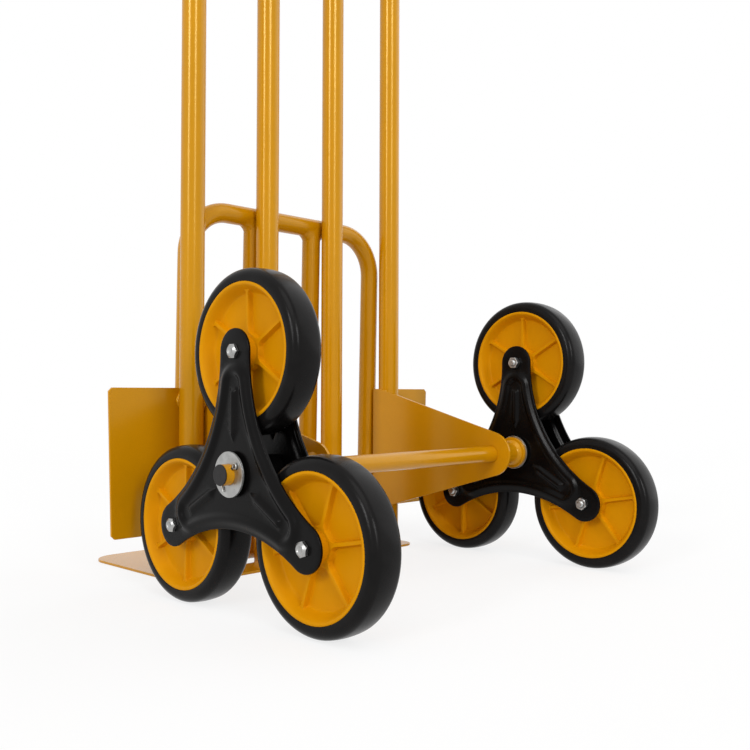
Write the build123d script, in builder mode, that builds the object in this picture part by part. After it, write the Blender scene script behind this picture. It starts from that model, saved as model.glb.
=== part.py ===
from build123d import *
import os
from math import asin, atan2, cos, degrees, hypot, radians, sin

# A stair climbing hand truck, in millimetres. It stands on the floor at z = 0, with +Y pointing
# forward over the toe plate, +X to the right and the origin under the middle of its box.

os.makedirs("parts", exist_ok=True)

# Fits between pieces
running_gap = 0.05
weld_gap = 0.05
rest_gap = 0.3

# Uprights and handles
upright_d = 28.0
upright_wall = 1.8
upright_pitch = 110.0
handle_bend_height = 1010.0
handle_bend_r = 80.0
handle_turn = 65.0
handle_bare = 25.0
grip_length = 125.0
grip_wall = 4.0
grip_end_wall = 5.0
grip_guard_d = 50.0
grip_guard_t = 6.0
grip_groove_count = 6
grip_groove_w = 6.0
grip_groove_depth = 1.2

# Cross tubes
cross_d = 22.0
cross_wall = 1.5
top_cross_drop = 40.0
cross_pitch = 160.0

# Toe plate
toe_side_margin = 25.0
toe_front = 186.0
toe_back = 29.0
toe_t = 3.0
toe_front_corner_r = 30.0
toe_back_corner_r = 18.0
window_back_margin = 0.5
window_front_margin = 10.0
window_side_margin = 1.0
window_corner_r = 6.0

# Axle brackets, each a tapering axle plate and a wing in one bent sheet
sheet_t = 3.0
sheet_bend_r = 2.0
bracket_rise = 81.0
bracket_drop = 85.0
bracket_nose_r = 27.5
wing_width = 114.0
wing_taper = 5.0
wing_corner = 4.0

# Axle and what sits on it
axle_d = 20.0
axle_wall = 3.0
sleeve_wall = 2.5
sleeve_length = 39.5
collar_d = 39.0
collar_t = 4.0
inner_washer_d = 42.0
inner_washer_t = 2.0
outer_washer_d = 43.0
outer_washer_t = 1.2
outer_washer_count = 2
washer_gap = 0.05
axle_stub = 7.4
cap_t = 1.5
pin_wire_d = 1.6
pin_leg_gap = 0.1
pin_tilt = 37.0
pin_eye_flare_r = 2.0
pin_eye_flare = 50.0
pin_bend_r = 2.5
pin_bend = 75.0
pin_leg_length = 7.0
pin_hole_gap = 0.2

# Wheel star plates
star_r = 115.0
star_wing_gap = 11.5
lobe_r = 20.5
waist_r = 52.0
plate_t = 2.5
plate_edge_r = 0.8
plate_wheel_gap = 4.5
ridge_rise = 3.0
ridge_ledge = 1.0
ridge_slope_w = 8.5
ridge_top_w = 1.0
ridge_inner_w = 7.0
ridge_end = 31.5
ridge_wall = 2.0
arm_rib_start = 28.0
arm_rib_end = 81.0
arm_rib_half_w = 6.0
arm_rib_point = 12.0
arm_rib_top_half_w = 0.8
arm_rib_slope = 4.0
hub_tube_wall = 4.0
bush_wall = 3.0

# Wheels
tyre_d = 160.0
wheel_w = 36.0
tyre_shoulder_r = 9.0
rim_d = 133.0
lip_w = 4.0
lip_edge_r = 1.0
rim_draft = 5.0
web_t = 10.0
rib_count = 6
rib_t = 4.0
rib_drop = 4.0
rib_root_r = 10.0
rib_end_r = 4.0
rib_bite = 1.0
boss_d = 40.0
boss_neck_gap = 2.5
hub_side_gap = 0.5

# Wheel bolts
bolt_d = 8.0
bolt_hole_gap = 0.2
bolt_head_across = 13.0
bolt_head_h = 5.0
bolt_head_chamfer = 0.8
nut_h = 6.5
bolt_end = 2.5
wheel_sleeve_wall = 2.0

# Folding toe loop
loop_d = 24.0
loop_wall = 1.5
loop_height = 417.0
loop_corner_r = 55.0
loop_inset = 12.0
bar_inset = 6.0
bar_shift = -7.5
loop_wing_gap = 1.5
hinge_lift = 1.0
ear_t = 4.0
ear_gap = 0.5
ear_wall = 8.0
rod_d = 10.0
rod_end = 6.0
rod_cap_wall = 2.5
hinge_bush_length = 20.0

# Places worked out from the sizes above
upright_r = upright_d / 2
outer_x = 1.5 * upright_pitch
inner_x = 0.5 * upright_pitch
handle_straight = grip_length + handle_bare
top_cross_height = handle_bend_height - top_cross_drop
middle_cross_height = top_cross_height - cross_pitch
tyre_r = tyre_d / 2
axle_r = axle_d / 2
loop_r = loop_d / 2
wheel_half = wheel_w / 2

axle_z = tyre_r + star_r * sin(radians(30))
axle_back = star_r + tyre_r + star_wing_gap - upright_r
wheel_back_reach = axle_back + star_r * cos(radians(30)) + tyre_r
upright_y = (wheel_back_reach - toe_front) / 2
axle_y = upright_y - axle_back

bracket_x = outer_x - upright_r - sheet_t
bracket_outer_x = bracket_x + sheet_t
bracket_top = axle_z + bracket_rise
bracket_bottom = axle_z - bracket_drop
wing_back_y = upright_y + upright_r
wing_front_y = wing_back_y + sheet_t

# Distances along the axle, from the truck's middle plane outwards
plate_half = wheel_half + plate_wheel_gap + plate_t
star_half = plate_half + ridge_rise
collar_x = bracket_outer_x + sleeve_length
inner_washer_x = collar_x + collar_t
wheel_x = inner_washer_x + inner_washer_t + rest_gap + star_half
outer_washer_x = wheel_x + star_half + rest_gap
washer_step = outer_washer_t + washer_gap
pin_x = outer_washer_x + outer_washer_count * washer_step + rest_gap + pin_wire_d / 2
axle_end_x = pin_x + axle_stub
bush_outer_r = axle_r + running_gap + bush_wall
hub_tube_r = bush_outer_r + weld_gap + hub_tube_wall
wheel_sleeve_r = bolt_d / 2 + bolt_hole_gap + wheel_sleeve_wall
wheel_inner_gap = plate_half - plate_t

# The folding loop's hinge, and the angle at which the loop leans back on the uprights
hinge_z = toe_t + hinge_lift + loop_r
wing_share = (bracket_top - hinge_z) / loop_height
loop_stand_off = (sheet_t + loop_wing_gap - rest_gap * wing_share) / (1 - wing_share)
hinge_y = upright_y + upright_r + loop_r + loop_stand_off
loop_lean = asin((loop_stand_off - rest_gap) / loop_height)
loop_x = outer_x - loop_inset
bar_x = inner_x - bar_inset
hinge_half = loop_x + loop_r
ear_x = hinge_half + ear_gap
ear_outer_r = rod_d / 2 + ear_wall
loop_plane = Plane(
    origin=(0, hinge_y, hinge_z),
    x_dir=(1, 0, 0),
    z_dir=(0, -cos(loop_lean), -sin(loop_lean)),
)

sides = (("left", -1), ("right", 1))
wheel_places = (("top", 90, 30), ("front", -30, 30), ("rear", 210, -11))


def keep(piece, node):
    """Name a finished piece and write it to its own file."""
    piece.part.label = node
    export_step(piece.part, f"parts/{node}.step")


def across(x, y, z, outward=1):
    """A plane square to the axle at a point, facing right (1) or left (-1), with its y axis up."""
    return Plane(origin=(x, y, z), x_dir=(0, outward, 0), z_dir=(outward, 0, 0))


def ring_face(plane, outer_r, inner_r, *spots):
    """A flat ring, or one at each spot, drawn on a plane."""
    with BuildSketch(plane) as face:
        with Locations(*(spots or ((0, 0),))):
            Circle(outer_r)
            Circle(inner_r, mode=Mode.SUBTRACT)
    return face.sketch


# Toe plate
with BuildPart() as toe_plate:
    toe_half = outer_x + toe_side_margin
    window_half = loop_x - loop_r - window_side_margin
    window_low = upright_y + upright_r + window_back_margin
    window_high = hinge_y + loop_r + window_front_margin
    with BuildSketch() as toe_face:
        with Locations((0, upright_y + (toe_front - toe_back) / 2)):
            Rectangle(2 * toe_half, toe_front + toe_back)
        fillet(toe_face.vertices().group_by(Axis.Y)[-1], toe_front_corner_r)
        fillet(toe_face.vertices().group_by(Axis.Y)[0], toe_back_corner_r)
        with Locations((0, (window_low + window_high) / 2)):
            RectangleRounded(2 * window_half, window_high - window_low, window_corner_r, mode=Mode.SUBTRACT)
    extrude(amount=toe_t)
keep(toe_plate, "toe_plate")

# Outer uprights, bent back at the top into handles
handle_planes = {}
for side, sign in sides:
    with BuildPart() as outer_upright:
        with BuildLine(across(sign * outer_x, 0, 0)) as upright_path:
            upright_run = Line((upright_y, toe_t), (upright_y, handle_bend_height))
            handle_arc = JernArc(upright_run @ 1, upright_run % 1, handle_bend_r, handle_turn)
            Line(handle_arc @ 1, handle_arc @ 1 + handle_straight * (handle_arc % 1))
        foot_plane = Plane(origin=(sign * outer_x, upright_y, toe_t))
        sweep(ring_face(foot_plane, upright_r, upright_r - upright_wall), path=upright_path.wire())
    handle_end = upright_path.wire() @ 1
    handle_planes[side] = Plane(origin=handle_end, x_dir=(1, 0, 0), z_dir=upright_path.wire() % 1)
    keep(outer_upright, f"{side}_outer_upright")

# Inner uprights, coped to the top cross tube
for side, sign in sides:
    with BuildPart() as inner_upright:
        foot_plane = Plane(origin=(sign * inner_x, upright_y, toe_t))
        extrude(ring_face(foot_plane, upright_r, upright_r - upright_wall), amount=top_cross_height - toe_t)
        with BuildSketch(across(sign * inner_x, upright_y, top_cross_height)):
            Circle(cross_d / 2)
        extrude(amount=upright_d, both=True, mode=Mode.SUBTRACT)
    keep(inner_upright, f"{side}_inner_upright")

# Top cross tube between the outer uprights
with BuildPart() as top_cross_tube:
    cross_plane = across(0, upright_y, top_cross_height)
    extrude(ring_face(cross_plane, cross_d / 2, cross_d / 2 - cross_wall), amount=outer_x, both=True)
    with BuildSketch(Plane.XY.offset(top_cross_height)):
        with Locations((-outer_x, upright_y), (outer_x, upright_y)):
            Circle(upright_r)
    extrude(amount=cross_d, both=True, mode=Mode.SUBTRACT)
keep(top_cross_tube, "top_cross_tube")

# Middle cross tubes, one in each bay between the uprights
with BuildPart() as middle_cross_tubes:
    cross_plane = across(0, upright_y, middle_cross_height)
    extrude(ring_face(cross_plane, cross_d / 2, cross_d / 2 - cross_wall), amount=outer_x, both=True)
    with BuildSketch(Plane.XY.offset(middle_cross_height)):
        with Locations(*((x, upright_y) for x in (-outer_x, -inner_x, inner_x, outer_x))):
            Circle(upright_r)
    extrude(amount=cross_d, both=True, mode=Mode.SUBTRACT)
keep(middle_cross_tubes, "middle_cross_tubes")

# Hand grips, pushed over the handle ends
for side, sign in sides:
    with BuildPart() as grip:
        grip_r = upright_r + weld_gap + grip_wall
        groove_pitch = (grip_length - grip_guard_t) / (grip_groove_count + 1)
        extrude(ring_face(handle_planes[side].offset(-grip_length), grip_r, upright_r + weld_gap),
                amount=grip_length)
        with BuildSketch(handle_planes[side]):
            Circle(grip_r)
        extrude(amount=grip_end_wall)
        fillet(grip.edges().filter_by(GeomType.CIRCLE).sort_by(
            Axis(handle_planes[side].origin, handle_planes[side].z_dir))[-1], grip_wall)
        extrude(ring_face(handle_planes[side].offset(-grip_length), grip_guard_d / 2, grip_r),
                amount=grip_guard_t)
        for groove in range(grip_groove_count):
            groove_place = -groove_pitch * (groove + 0.5) - grip_groove_w / 2
            extrude(ring_face(handle_planes[side].offset(groove_place), grip_r, grip_r - grip_groove_depth),
                    amount=grip_groove_w, mode=Mode.SUBTRACT)
    keep(grip, f"{side}_grip")


def nose_touch(height):
    """The point on the bracket's round nose where the edge that tapers from a height begins."""
    taper = atan2(height, axle_back) - asin(bracket_nose_r / hypot(height, axle_back))
    return -bracket_nose_r * sin(taper), bracket_nose_r * cos(taper)


# Axle brackets with their wings
for side, sign in sides:
    with BuildPart() as axle_bracket:
        top_touch = Vector(axle_y, axle_z) + Vector(*nose_touch(bracket_rise))
        low_y, low_drop = nose_touch(bracket_drop)
        bottom_touch = Vector(axle_y + low_y, axle_z - low_drop)
        with BuildSketch(across(sign * bracket_x, 0, 0)):
            with BuildLine():
                Polyline(top_touch, (upright_y, bracket_top), (wing_front_y, bracket_top),
                         (wing_front_y, bracket_bottom), (upright_y, bracket_bottom), bottom_touch)
                ThreePointArc(bottom_touch, (axle_y - bracket_nose_r, axle_z), top_touch)
            make_face()
            with Locations((axle_y, axle_z)):
                Circle(axle_r + weld_gap, mode=Mode.SUBTRACT)
        extrude(amount=sign * sheet_t)
        wing_inside = sign * bracket_x
        wing_outside = sign * (bracket_x + wing_width)
        with BuildSketch(Plane.XZ.offset(-wing_front_y)):
            with BuildLine():
                Polyline((wing_inside, bracket_bottom), (wing_inside, bracket_top), (wing_outside, bracket_top),
                         (wing_outside - sign * wing_taper, bracket_bottom), close=True)
            make_face()
        extrude(amount=sheet_t)
        wing_tips = axle_bracket.edges().filter_by(Axis.Y).sort_by(Axis.X)
        chamfer(wing_tips[-2:] if sign > 0 else wing_tips[:2], wing_corner)
        inner_corner = axle_bracket.edges().filter_by(Axis.Z).sort_by_distance(
            (sign * bracket_outer_x, wing_back_y, axle_z))[0]
        fillet(inner_corner, sheet_bend_r)
        outer_corner = axle_bracket.edges().filter_by(Axis.Z).sort_by_distance(
            (sign * bracket_x, wing_front_y, axle_z))[0]
        fillet(outer_corner, sheet_bend_r + sheet_t)
    keep(axle_bracket, f"{side}_axle_bracket")


def pin_plane(sign):
    """The plane of a split pin: its x axis runs from the eye to the legs."""
    tilt = radians(pin_tilt)
    return Plane(origin=(sign * pin_x, axle_y, axle_z), x_dir=(0, cos(tilt), -sin(tilt)), z_dir=(sign, 0, 0))


pin_offset = (pin_wire_d + pin_leg_gap) / 2
pin_hole_r = pin_offset + pin_wire_d / 2 + pin_hole_gap

# Axle tube, with a hole for a split pin near each end
with BuildPart() as axle_tube:
    extrude(ring_face(across(0, axle_y, axle_z), axle_r, axle_r - axle_wall), amount=axle_end_x, both=True)
    for side, sign in sides:
        hole_plane = Plane(origin=pin_plane(sign).origin, z_dir=pin_plane(sign).x_dir)
        with BuildSketch(hole_plane):
            Circle(pin_hole_r)
        extrude(amount=axle_d, both=True, mode=Mode.SUBTRACT)
keep(axle_tube, "axle_tube")


# Axle sleeves, collars, washers and end caps, the left one and the right one in one node
def on_both_ends(face_of, node):
    """Extrude a ring at both ends of the axle: face_of gives its start, thickness and radii."""
    start, thickness, outer_r, inner_r = face_of
    with BuildPart() as rings:
        for _, sign in sides:
            extrude(ring_face(across(sign * start, axle_y, axle_z, sign), outer_r, inner_r), amount=thickness)
    keep(rings, node)


seat_r = axle_r + weld_gap
on_both_ends((bracket_outer_x, sleeve_length, seat_r + sleeve_wall, seat_r), "axle_sleeves")
on_both_ends((collar_x, collar_t, collar_d / 2, seat_r), "axle_collars")
on_both_ends((inner_washer_x, inner_washer_t, inner_washer_d / 2, seat_r), "inner_hub_washers")

with BuildPart() as outer_hub_washers:
    for side, sign in sides:
        for layer in range(outer_washer_count):
            layer_x = outer_washer_x + layer * washer_step
            extrude(ring_face(across(sign * layer_x, axle_y, axle_z, sign), outer_washer_d / 2, seat_r),
                    amount=outer_washer_t)
keep(outer_hub_washers, "outer_hub_washers")

with BuildPart() as axle_caps:
    for side, sign in sides:
        with BuildSketch(across(sign * axle_end_x, axle_y, axle_z, sign)):
            Circle(axle_r)
        extrude(amount=cap_t)
        plug_r = axle_r - axle_wall - weld_gap
        extrude(ring_face(across(sign * axle_end_x, axle_y, axle_z, -sign), plug_r, plug_r / 2),
                amount=axle_stub - pin_hole_r - rest_gap)
keep(axle_caps, "axle_caps")

# Split pins, each one wire folded into an eye with two bent legs
with BuildPart() as split_pins:
    flare = radians(pin_eye_flare)
    eye_r = (pin_offset + pin_eye_flare_r * (1 - cos(flare))) / cos(flare)
    eye_back = axle_r + rest_gap + pin_eye_flare_r * sin(flare) + eye_r * (1 + sin(flare))
    for side, sign in sides:
        with BuildLine(pin_plane(sign)) as pin_path:
            for turn in (1, -1):
                eye = JernArc((-eye_back, 0), (0, turn), eye_r, -turn * (90 + pin_eye_flare))
                neck = JernArc(eye @ 1, eye % 1, pin_eye_flare_r, turn * pin_eye_flare)
                leg = Line(neck @ 1, (axle_r + rest_gap, turn * pin_offset))
                bend = JernArc(leg @ 1, leg % 1, pin_bend_r, turn * pin_bend)
                Line(bend @ 1, bend @ 1 + pin_leg_length * (bend % 1))
        with BuildSketch(Plane(origin=pin_path.wire() @ 0, z_dir=pin_path.wire() % 0)):
            Circle(pin_wire_d / 2)
        sweep(path=pin_path.wire())
keep(split_pins, "split_pins")

# Wheel stars: two pressed plates with a hub tube and a bush between them
arc_r = ((waist_r - star_r / 2) ** 2 + 0.75 * star_r**2 - lobe_r**2) / (2 * (lobe_r - waist_r + star_r / 2))


def star_face(plane, inset, lobe_place):
    """A three lobed outline: hollow arcs, moved in by inset, joined by lobes at lobe_place."""
    hollow_r = arc_r + inset
    centre_r = waist_r + arc_r
    lobe_gap = Vector(centre_r * cos(radians(60)) - lobe_place, centre_r * sin(radians(60)))
    lobe_size = lobe_gap.length - hollow_r
    touch = degrees(atan2(lobe_gap.Y, lobe_gap.X))
    with BuildSketch(plane) as face:
        with BuildLine():
            for arm in (90, 210, 330):
                lobe = PolarLocations(lobe_place, 1, start_angle=arm).locations[0].position
                first, middle, last = (
                    lobe + Vector(lobe_size, 0).rotate(Axis.Z, arm + turn) for turn in (-touch, 0, touch))
                ThreePointArc(first, middle, last)
                hollow = Vector(waist_r - inset, 0).rotate(Axis.Z, arm + 60)
                next_lobe = Vector(lobe_place, 0).rotate(Axis.Z, arm + 120)
                landing = next_lobe + Vector(lobe_size, 0).rotate(Axis.Z, arm + 120 - touch)
                ThreePointArc(last, hollow, landing)
        make_face()
    return face.sketch


def arm_rib_face(plane, start, end, half_w):
    """Three narrow outlines, one along each arm, each with a point towards the axle."""
    with BuildSketch(plane) as face:
        for arm in (90, 210, 330):
            corners = ((start, 0), (start + arm_rib_point, half_w), (end, half_w), (end, -half_w),
                       (start + arm_rib_point, -half_w))
            with BuildLine():
                Polyline(*(Vector(*corner).rotate(Axis.Z, arm) for corner in corners), close=True)
            make_face()
    return face.sketch


def star_plate(middle, node):
    """One pressed plate: a ridge runs round inside its outline and a rib along each arm."""
    lobe_place = star_r - ridge_end
    back_plane = middle.offset(plate_half - plate_t)
    face_plane = middle.offset(plate_half)
    ridge_plane = middle.offset(star_half)
    ridge_in = ridge_ledge + ridge_slope_w
    hollow_in = ridge_in + ridge_top_w
    floor_in = hollow_in + ridge_inner_w
    groove_plane = back_plane.offset(ridge_rise * (1 - ridge_wall / ridge_slope_w))
    groove_in = ridge_in + ridge_top_w / 2
    with BuildPart() as plate:
        extrude(star_face(back_plane, 0, star_r), amount=plate_t)
        outer_face = plate.faces().sort_by(Axis(middle.origin, middle.z_dir))[-1]
        fillet(outer_face.edges(), plate_edge_r)
        loft([star_face(face_plane, ridge_ledge, lobe_place), star_face(ridge_plane, ridge_in, lobe_place)],
             ruled=True)
        loft([star_face(face_plane, floor_in, lobe_place), star_face(ridge_plane, hollow_in, lobe_place)],
             ruled=True, mode=Mode.SUBTRACT)
        groove_outside = loft([star_face(back_plane, ridge_ledge + ridge_wall, lobe_place),
                               star_face(groove_plane, groove_in, lobe_place)], ruled=True, mode=Mode.PRIVATE)
        groove_inside = loft([star_face(back_plane, floor_in - ridge_wall, lobe_place),
                              star_face(groove_plane, groove_in, lobe_place)], ruled=True, mode=Mode.PRIVATE)
        add(groove_outside - groove_inside, mode=Mode.SUBTRACT)
        rib_bottoms = arm_rib_face(face_plane, arm_rib_start, arm_rib_end, arm_rib_half_w)
        rib_tops = arm_rib_face(ridge_plane, arm_rib_start + arm_rib_point, arm_rib_end - arm_rib_slope,
                                arm_rib_top_half_w)
        for bottom, top in zip(rib_bottoms.faces(), rib_tops.faces()):
            loft([bottom, top], ruled=True)
        with BuildSketch(back_plane):
            Circle(bush_outer_r + weld_gap)
            with PolarLocations(star_r, 3, start_angle=90):
                Circle(bolt_d / 2 + bolt_hole_gap)
        extrude(amount=plate_t + ridge_rise, mode=Mode.SUBTRACT)
    keep(plate, node)


for side, sign in sides:
    star_middle = across(sign * wheel_x, axle_y, axle_z, sign)
    inner_face = across(sign * wheel_x, axle_y, axle_z, -sign)
    star_plate(star_middle, f"{side}_star_outer_plate")
    star_plate(inner_face, f"{side}_star_inner_plate")
    with BuildPart() as hub_tube:
        extrude(ring_face(star_middle, hub_tube_r, bush_outer_r + weld_gap),
                amount=wheel_inner_gap, both=True)
    keep(hub_tube, f"{side}_star_hub_tube")
    with BuildPart() as star_bush:
        extrude(ring_face(star_middle, bush_outer_r, axle_r + running_gap), amount=star_half, both=True)
    keep(star_bush, f"{side}_star_bush")

    with BuildPart() as wheel_sleeves:
        with BuildSketch(star_middle):
            with PolarLocations(star_r, 3, start_angle=90):
                Circle(wheel_sleeve_r)
                Circle(bolt_d / 2 + bolt_hole_gap, mode=Mode.SUBTRACT)
        extrude(amount=wheel_inner_gap, both=True)
    keep(wheel_sleeves, f"{side}_wheel_sleeves")

    with BuildPart() as wheel_bolts:
        with BuildSketch(star_middle.offset(plate_half)):
            with PolarLocations(star_r, 3, start_angle=90):
                RegularPolygon(bolt_head_across / 2, 6, major_radius=False)
        extrude(amount=bolt_head_h)
        head_tops = wheel_bolts.faces().group_by(Axis(star_middle.origin, star_middle.z_dir))[-1]
        chamfer(head_tops.edges(), bolt_head_chamfer)
        with BuildSketch(star_middle.offset(plate_half)):
            with PolarLocations(star_r, 3, start_angle=90):
                Circle(bolt_d / 2)
        extrude(amount=-(2 * plate_half + nut_h + bolt_end))
    keep(wheel_bolts, f"{side}_wheel_bolts")

    with BuildPart() as wheel_nuts:
        with BuildSketch(inner_face.offset(plate_half)):
            with PolarLocations(star_r, 3, start_angle=90):
                RegularPolygon(bolt_head_across / 2, 6, major_radius=False)
                Circle(bolt_d / 2 + weld_gap, mode=Mode.SUBTRACT)
        extrude(amount=nut_h)
    keep(wheel_nuts, f"{side}_wheel_nuts")

# Wheels: a ribbed hub and a tyre, drawn once about the Z axis
rim_r = rim_d / 2
lip_inner_r = rim_r - lip_w
rib_half = wheel_half - rib_drop
hub_half = wheel_inner_gap - hub_side_gap
hub_bore_r = wheel_sleeve_r + running_gap
boss_neck_r = lobe_r - plate_t - boss_neck_gap

with BuildPart() as hub_form:
    with BuildSketch(Plane.XZ):
        with BuildLine():
            Polyline((hub_bore_r, -hub_half), (boss_neck_r, -hub_half), (boss_neck_r, -web_t / 2),
                     (lip_inner_r - rim_draft, -web_t / 2), (lip_inner_r, -wheel_half), (rim_r, -wheel_half),
                     (rim_r, wheel_half), (lip_inner_r, wheel_half), (lip_inner_r - rim_draft, web_t / 2),
                     (boss_neck_r, web_t / 2), (boss_neck_r, hub_half), (hub_bore_r, hub_half),
                     close=True)
        make_face()
    revolve(axis=Axis.Z)
    lip_edges = hub_form.edges().filter_by(GeomType.CIRCLE).filter_by(
        lambda edge: abs(edge.radius - lip_inner_r) < 0.01)
    fillet(lip_edges, lip_edge_r)
    wall_share = (rib_half - web_t / 2) / (wheel_half - web_t / 2)
    rib_reach = lip_inner_r - rim_draft * (1 - wall_share) + rib_bite
    with BuildSketch(Plane.XY.offset(-rib_half)) as ribs:
        Circle((rim_r + rib_reach) / 2)
        Circle(rib_reach, mode=Mode.SUBTRACT)
        with PolarLocations(rib_reach / 2, rib_count):
            Rectangle(rib_reach + rib_end_r, rib_t)
        Circle(boss_d / 2)
        middle_r = (boss_d / 2 + rib_reach) / 2
        fillet(ribs.vertices().filter_by(lambda point: hypot(point.X, point.Y) < middle_r), rib_root_r)
        rib_ends = ribs.vertices().filter_by(
            lambda point: abs(hypot(point.X, point.Y) - rib_reach) < rib_end_r / 2)
        fillet(rib_ends, rib_end_r)
        Circle(hub_bore_r, mode=Mode.SUBTRACT)
    extrude(amount=2 * rib_half)

with BuildPart() as tyre_form:
    with BuildSketch(Plane.XZ):
        with BuildLine():
            Polyline((tyre_r, -wheel_half), (tyre_r, wheel_half), (rim_r, wheel_half), (rim_r, -wheel_half),
                     close=True)
        tyre_face = make_face()
        fillet(tyre_face.vertices().sort_by(Axis.X)[-2:], tyre_shoulder_r)
    revolve(axis=Axis.Z)

for side, sign in sides:
    for place, angle, rib_turn in wheel_places:
        wheel_y = axle_y + star_r * cos(radians(angle))
        wheel_z = axle_z + star_r * sin(radians(angle))
        wheel_spot = Location(across(sign * wheel_x, wheel_y, wheel_z)) * Rotation(0, 0, rib_turn)
        with BuildPart() as wheel_hub:
            add(hub_form.part.moved(wheel_spot))
        keep(wheel_hub, f"{side}_{place}_wheel_hub")
        with BuildPart() as tyre:
            add(tyre_form.part.moved(wheel_spot))
        keep(tyre, f"{side}_{place}_tyre")

# Folding toe loop, leaning back on the uprights
with BuildPart() as loop_tube:
    with BuildLine(loop_plane) as loop_path:
        FilletPolyline((-loop_x, 0), (-loop_x, loop_height), (loop_x, loop_height), (loop_x, 0),
                       radius=loop_corner_r)
    leg_plane = Plane(origin=loop_path.wire() @ 0, z_dir=loop_path.wire() % 0)
    sweep(ring_face(leg_plane, loop_r, loop_r - loop_wall), path=loop_path.wire())
    with BuildSketch(across(0, hinge_y, hinge_z)):
        Circle(loop_r)
    extrude(amount=hinge_half + loop_d, both=True, mode=Mode.SUBTRACT)
keep(loop_tube, "loop_tube")

with BuildPart() as loop_bars:
    bar_plane = Plane(origin=(0, hinge_y, hinge_z), x_dir=(1, 0, 0), z_dir=loop_plane.y_dir)
    bar_spots = ((bar_shift - bar_x, 0), (bar_shift + bar_x, 0))
    extrude(ring_face(bar_plane, loop_r, loop_r - loop_wall, *bar_spots), amount=loop_height)
    for row in (0, loop_height):
        with BuildSketch(across(*loop_plane.from_local_coords((0, row)))):
            Circle(loop_r)
        extrude(amount=hinge_half, both=True, mode=Mode.SUBTRACT)
keep(loop_bars, "loop_bars")

with BuildPart() as hinge_tube:
    extrude(ring_face(across(0, hinge_y, hinge_z), loop_r, loop_r - loop_wall), amount=hinge_half, both=True)
keep(hinge_tube, "hinge_tube")

with BuildPart() as hinge_bushes:
    for side, sign in sides:
        extrude(ring_face(across(sign * hinge_half, hinge_y, hinge_z, -sign), loop_r - loop_wall - weld_gap,
                          rod_d / 2 + running_gap), amount=hinge_bush_length)
keep(hinge_bushes, "hinge_bushes")

# Hinge ears on the toe plate, the rod through them and its push caps
with BuildPart() as hinge_ears:
    for side, sign in sides:
        with BuildSketch(across(sign * ear_x, hinge_y, hinge_z, sign)):
            with BuildLine():
                Polyline((-ear_outer_r, 0), (-ear_outer_r, toe_t - hinge_z), (ear_outer_r, toe_t - hinge_z),
                         (ear_outer_r, 0))
                ThreePointArc((ear_outer_r, 0), (0, ear_outer_r), (-ear_outer_r, 0))
            make_face()
            Circle(rod_d / 2 + weld_gap, mode=Mode.SUBTRACT)
        extrude(amount=ear_t)
keep(hinge_ears, "hinge_ears")

with BuildPart() as hinge_rod:
    with BuildSketch(across(0, hinge_y, hinge_z)):
        Circle(rod_d / 2)
    extrude(amount=ear_x + ear_t + rod_end, both=True)
keep(hinge_rod, "hinge_rod")

with BuildPart() as rod_caps:
    for side, sign in sides:
        cap_plane = across(sign * (ear_x + ear_t), hinge_y, hinge_z, sign)
        with BuildSketch(cap_plane):
            Circle(rod_d / 2 + rod_cap_wall)
        extrude(amount=rod_end + rod_cap_wall)
        with BuildSketch(cap_plane):
            Circle(rod_d / 2 + weld_gap)
        extrude(amount=rod_end, mode=Mode.SUBTRACT)
keep(rod_caps, "rod_caps")
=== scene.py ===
from math import acos, asin, atan2, cos, degrees, hypot, pi, radians, sin, sqrt, tan, tau

import bpy
from bpy.props import FloatProperty, FloatVectorProperty, IntProperty, PointerProperty
from bpy.types import Operator, Panel, PropertyGroup
from mathutils import Matrix, Vector, geometry, kdtree, noise


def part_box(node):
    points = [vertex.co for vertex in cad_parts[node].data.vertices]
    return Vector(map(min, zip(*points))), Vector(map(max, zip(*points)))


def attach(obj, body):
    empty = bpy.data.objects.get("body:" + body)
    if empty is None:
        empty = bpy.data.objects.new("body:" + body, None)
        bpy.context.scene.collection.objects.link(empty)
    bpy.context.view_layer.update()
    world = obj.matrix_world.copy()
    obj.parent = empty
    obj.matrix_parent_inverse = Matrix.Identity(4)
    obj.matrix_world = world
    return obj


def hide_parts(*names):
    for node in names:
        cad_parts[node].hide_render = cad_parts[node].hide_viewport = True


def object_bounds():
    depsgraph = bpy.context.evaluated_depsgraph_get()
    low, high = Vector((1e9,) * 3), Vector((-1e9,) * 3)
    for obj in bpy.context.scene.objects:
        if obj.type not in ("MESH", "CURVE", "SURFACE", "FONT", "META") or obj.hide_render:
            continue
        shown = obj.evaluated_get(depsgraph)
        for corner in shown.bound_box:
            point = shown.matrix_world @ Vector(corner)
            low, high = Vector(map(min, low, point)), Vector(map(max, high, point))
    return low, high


# Dresses a stair climbing hand truck: finishes for its frame, weld beads, pressed star plates, wheel hubs,
# tyres, wheel bolts and hand grips, and a plain studio around it. Places come from the frame, in metres.
bl_info = {
    "name": "Stair climbing hand truck",
    "version": (1, 0, 0),
    "blender": (4, 5, 0),
    "location": "View3D > Sidebar > Hand truck",
    "description": "Builds the finishes and the fine pieces of a stair climbing hand truck around its frame",
    "category": "Object",
}

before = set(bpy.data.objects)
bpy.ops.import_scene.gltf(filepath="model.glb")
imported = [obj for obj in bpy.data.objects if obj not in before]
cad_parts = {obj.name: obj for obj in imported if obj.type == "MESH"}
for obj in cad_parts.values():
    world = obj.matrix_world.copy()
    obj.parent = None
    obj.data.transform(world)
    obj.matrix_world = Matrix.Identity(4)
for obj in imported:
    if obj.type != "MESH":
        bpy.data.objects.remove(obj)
cad_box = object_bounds()

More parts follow.
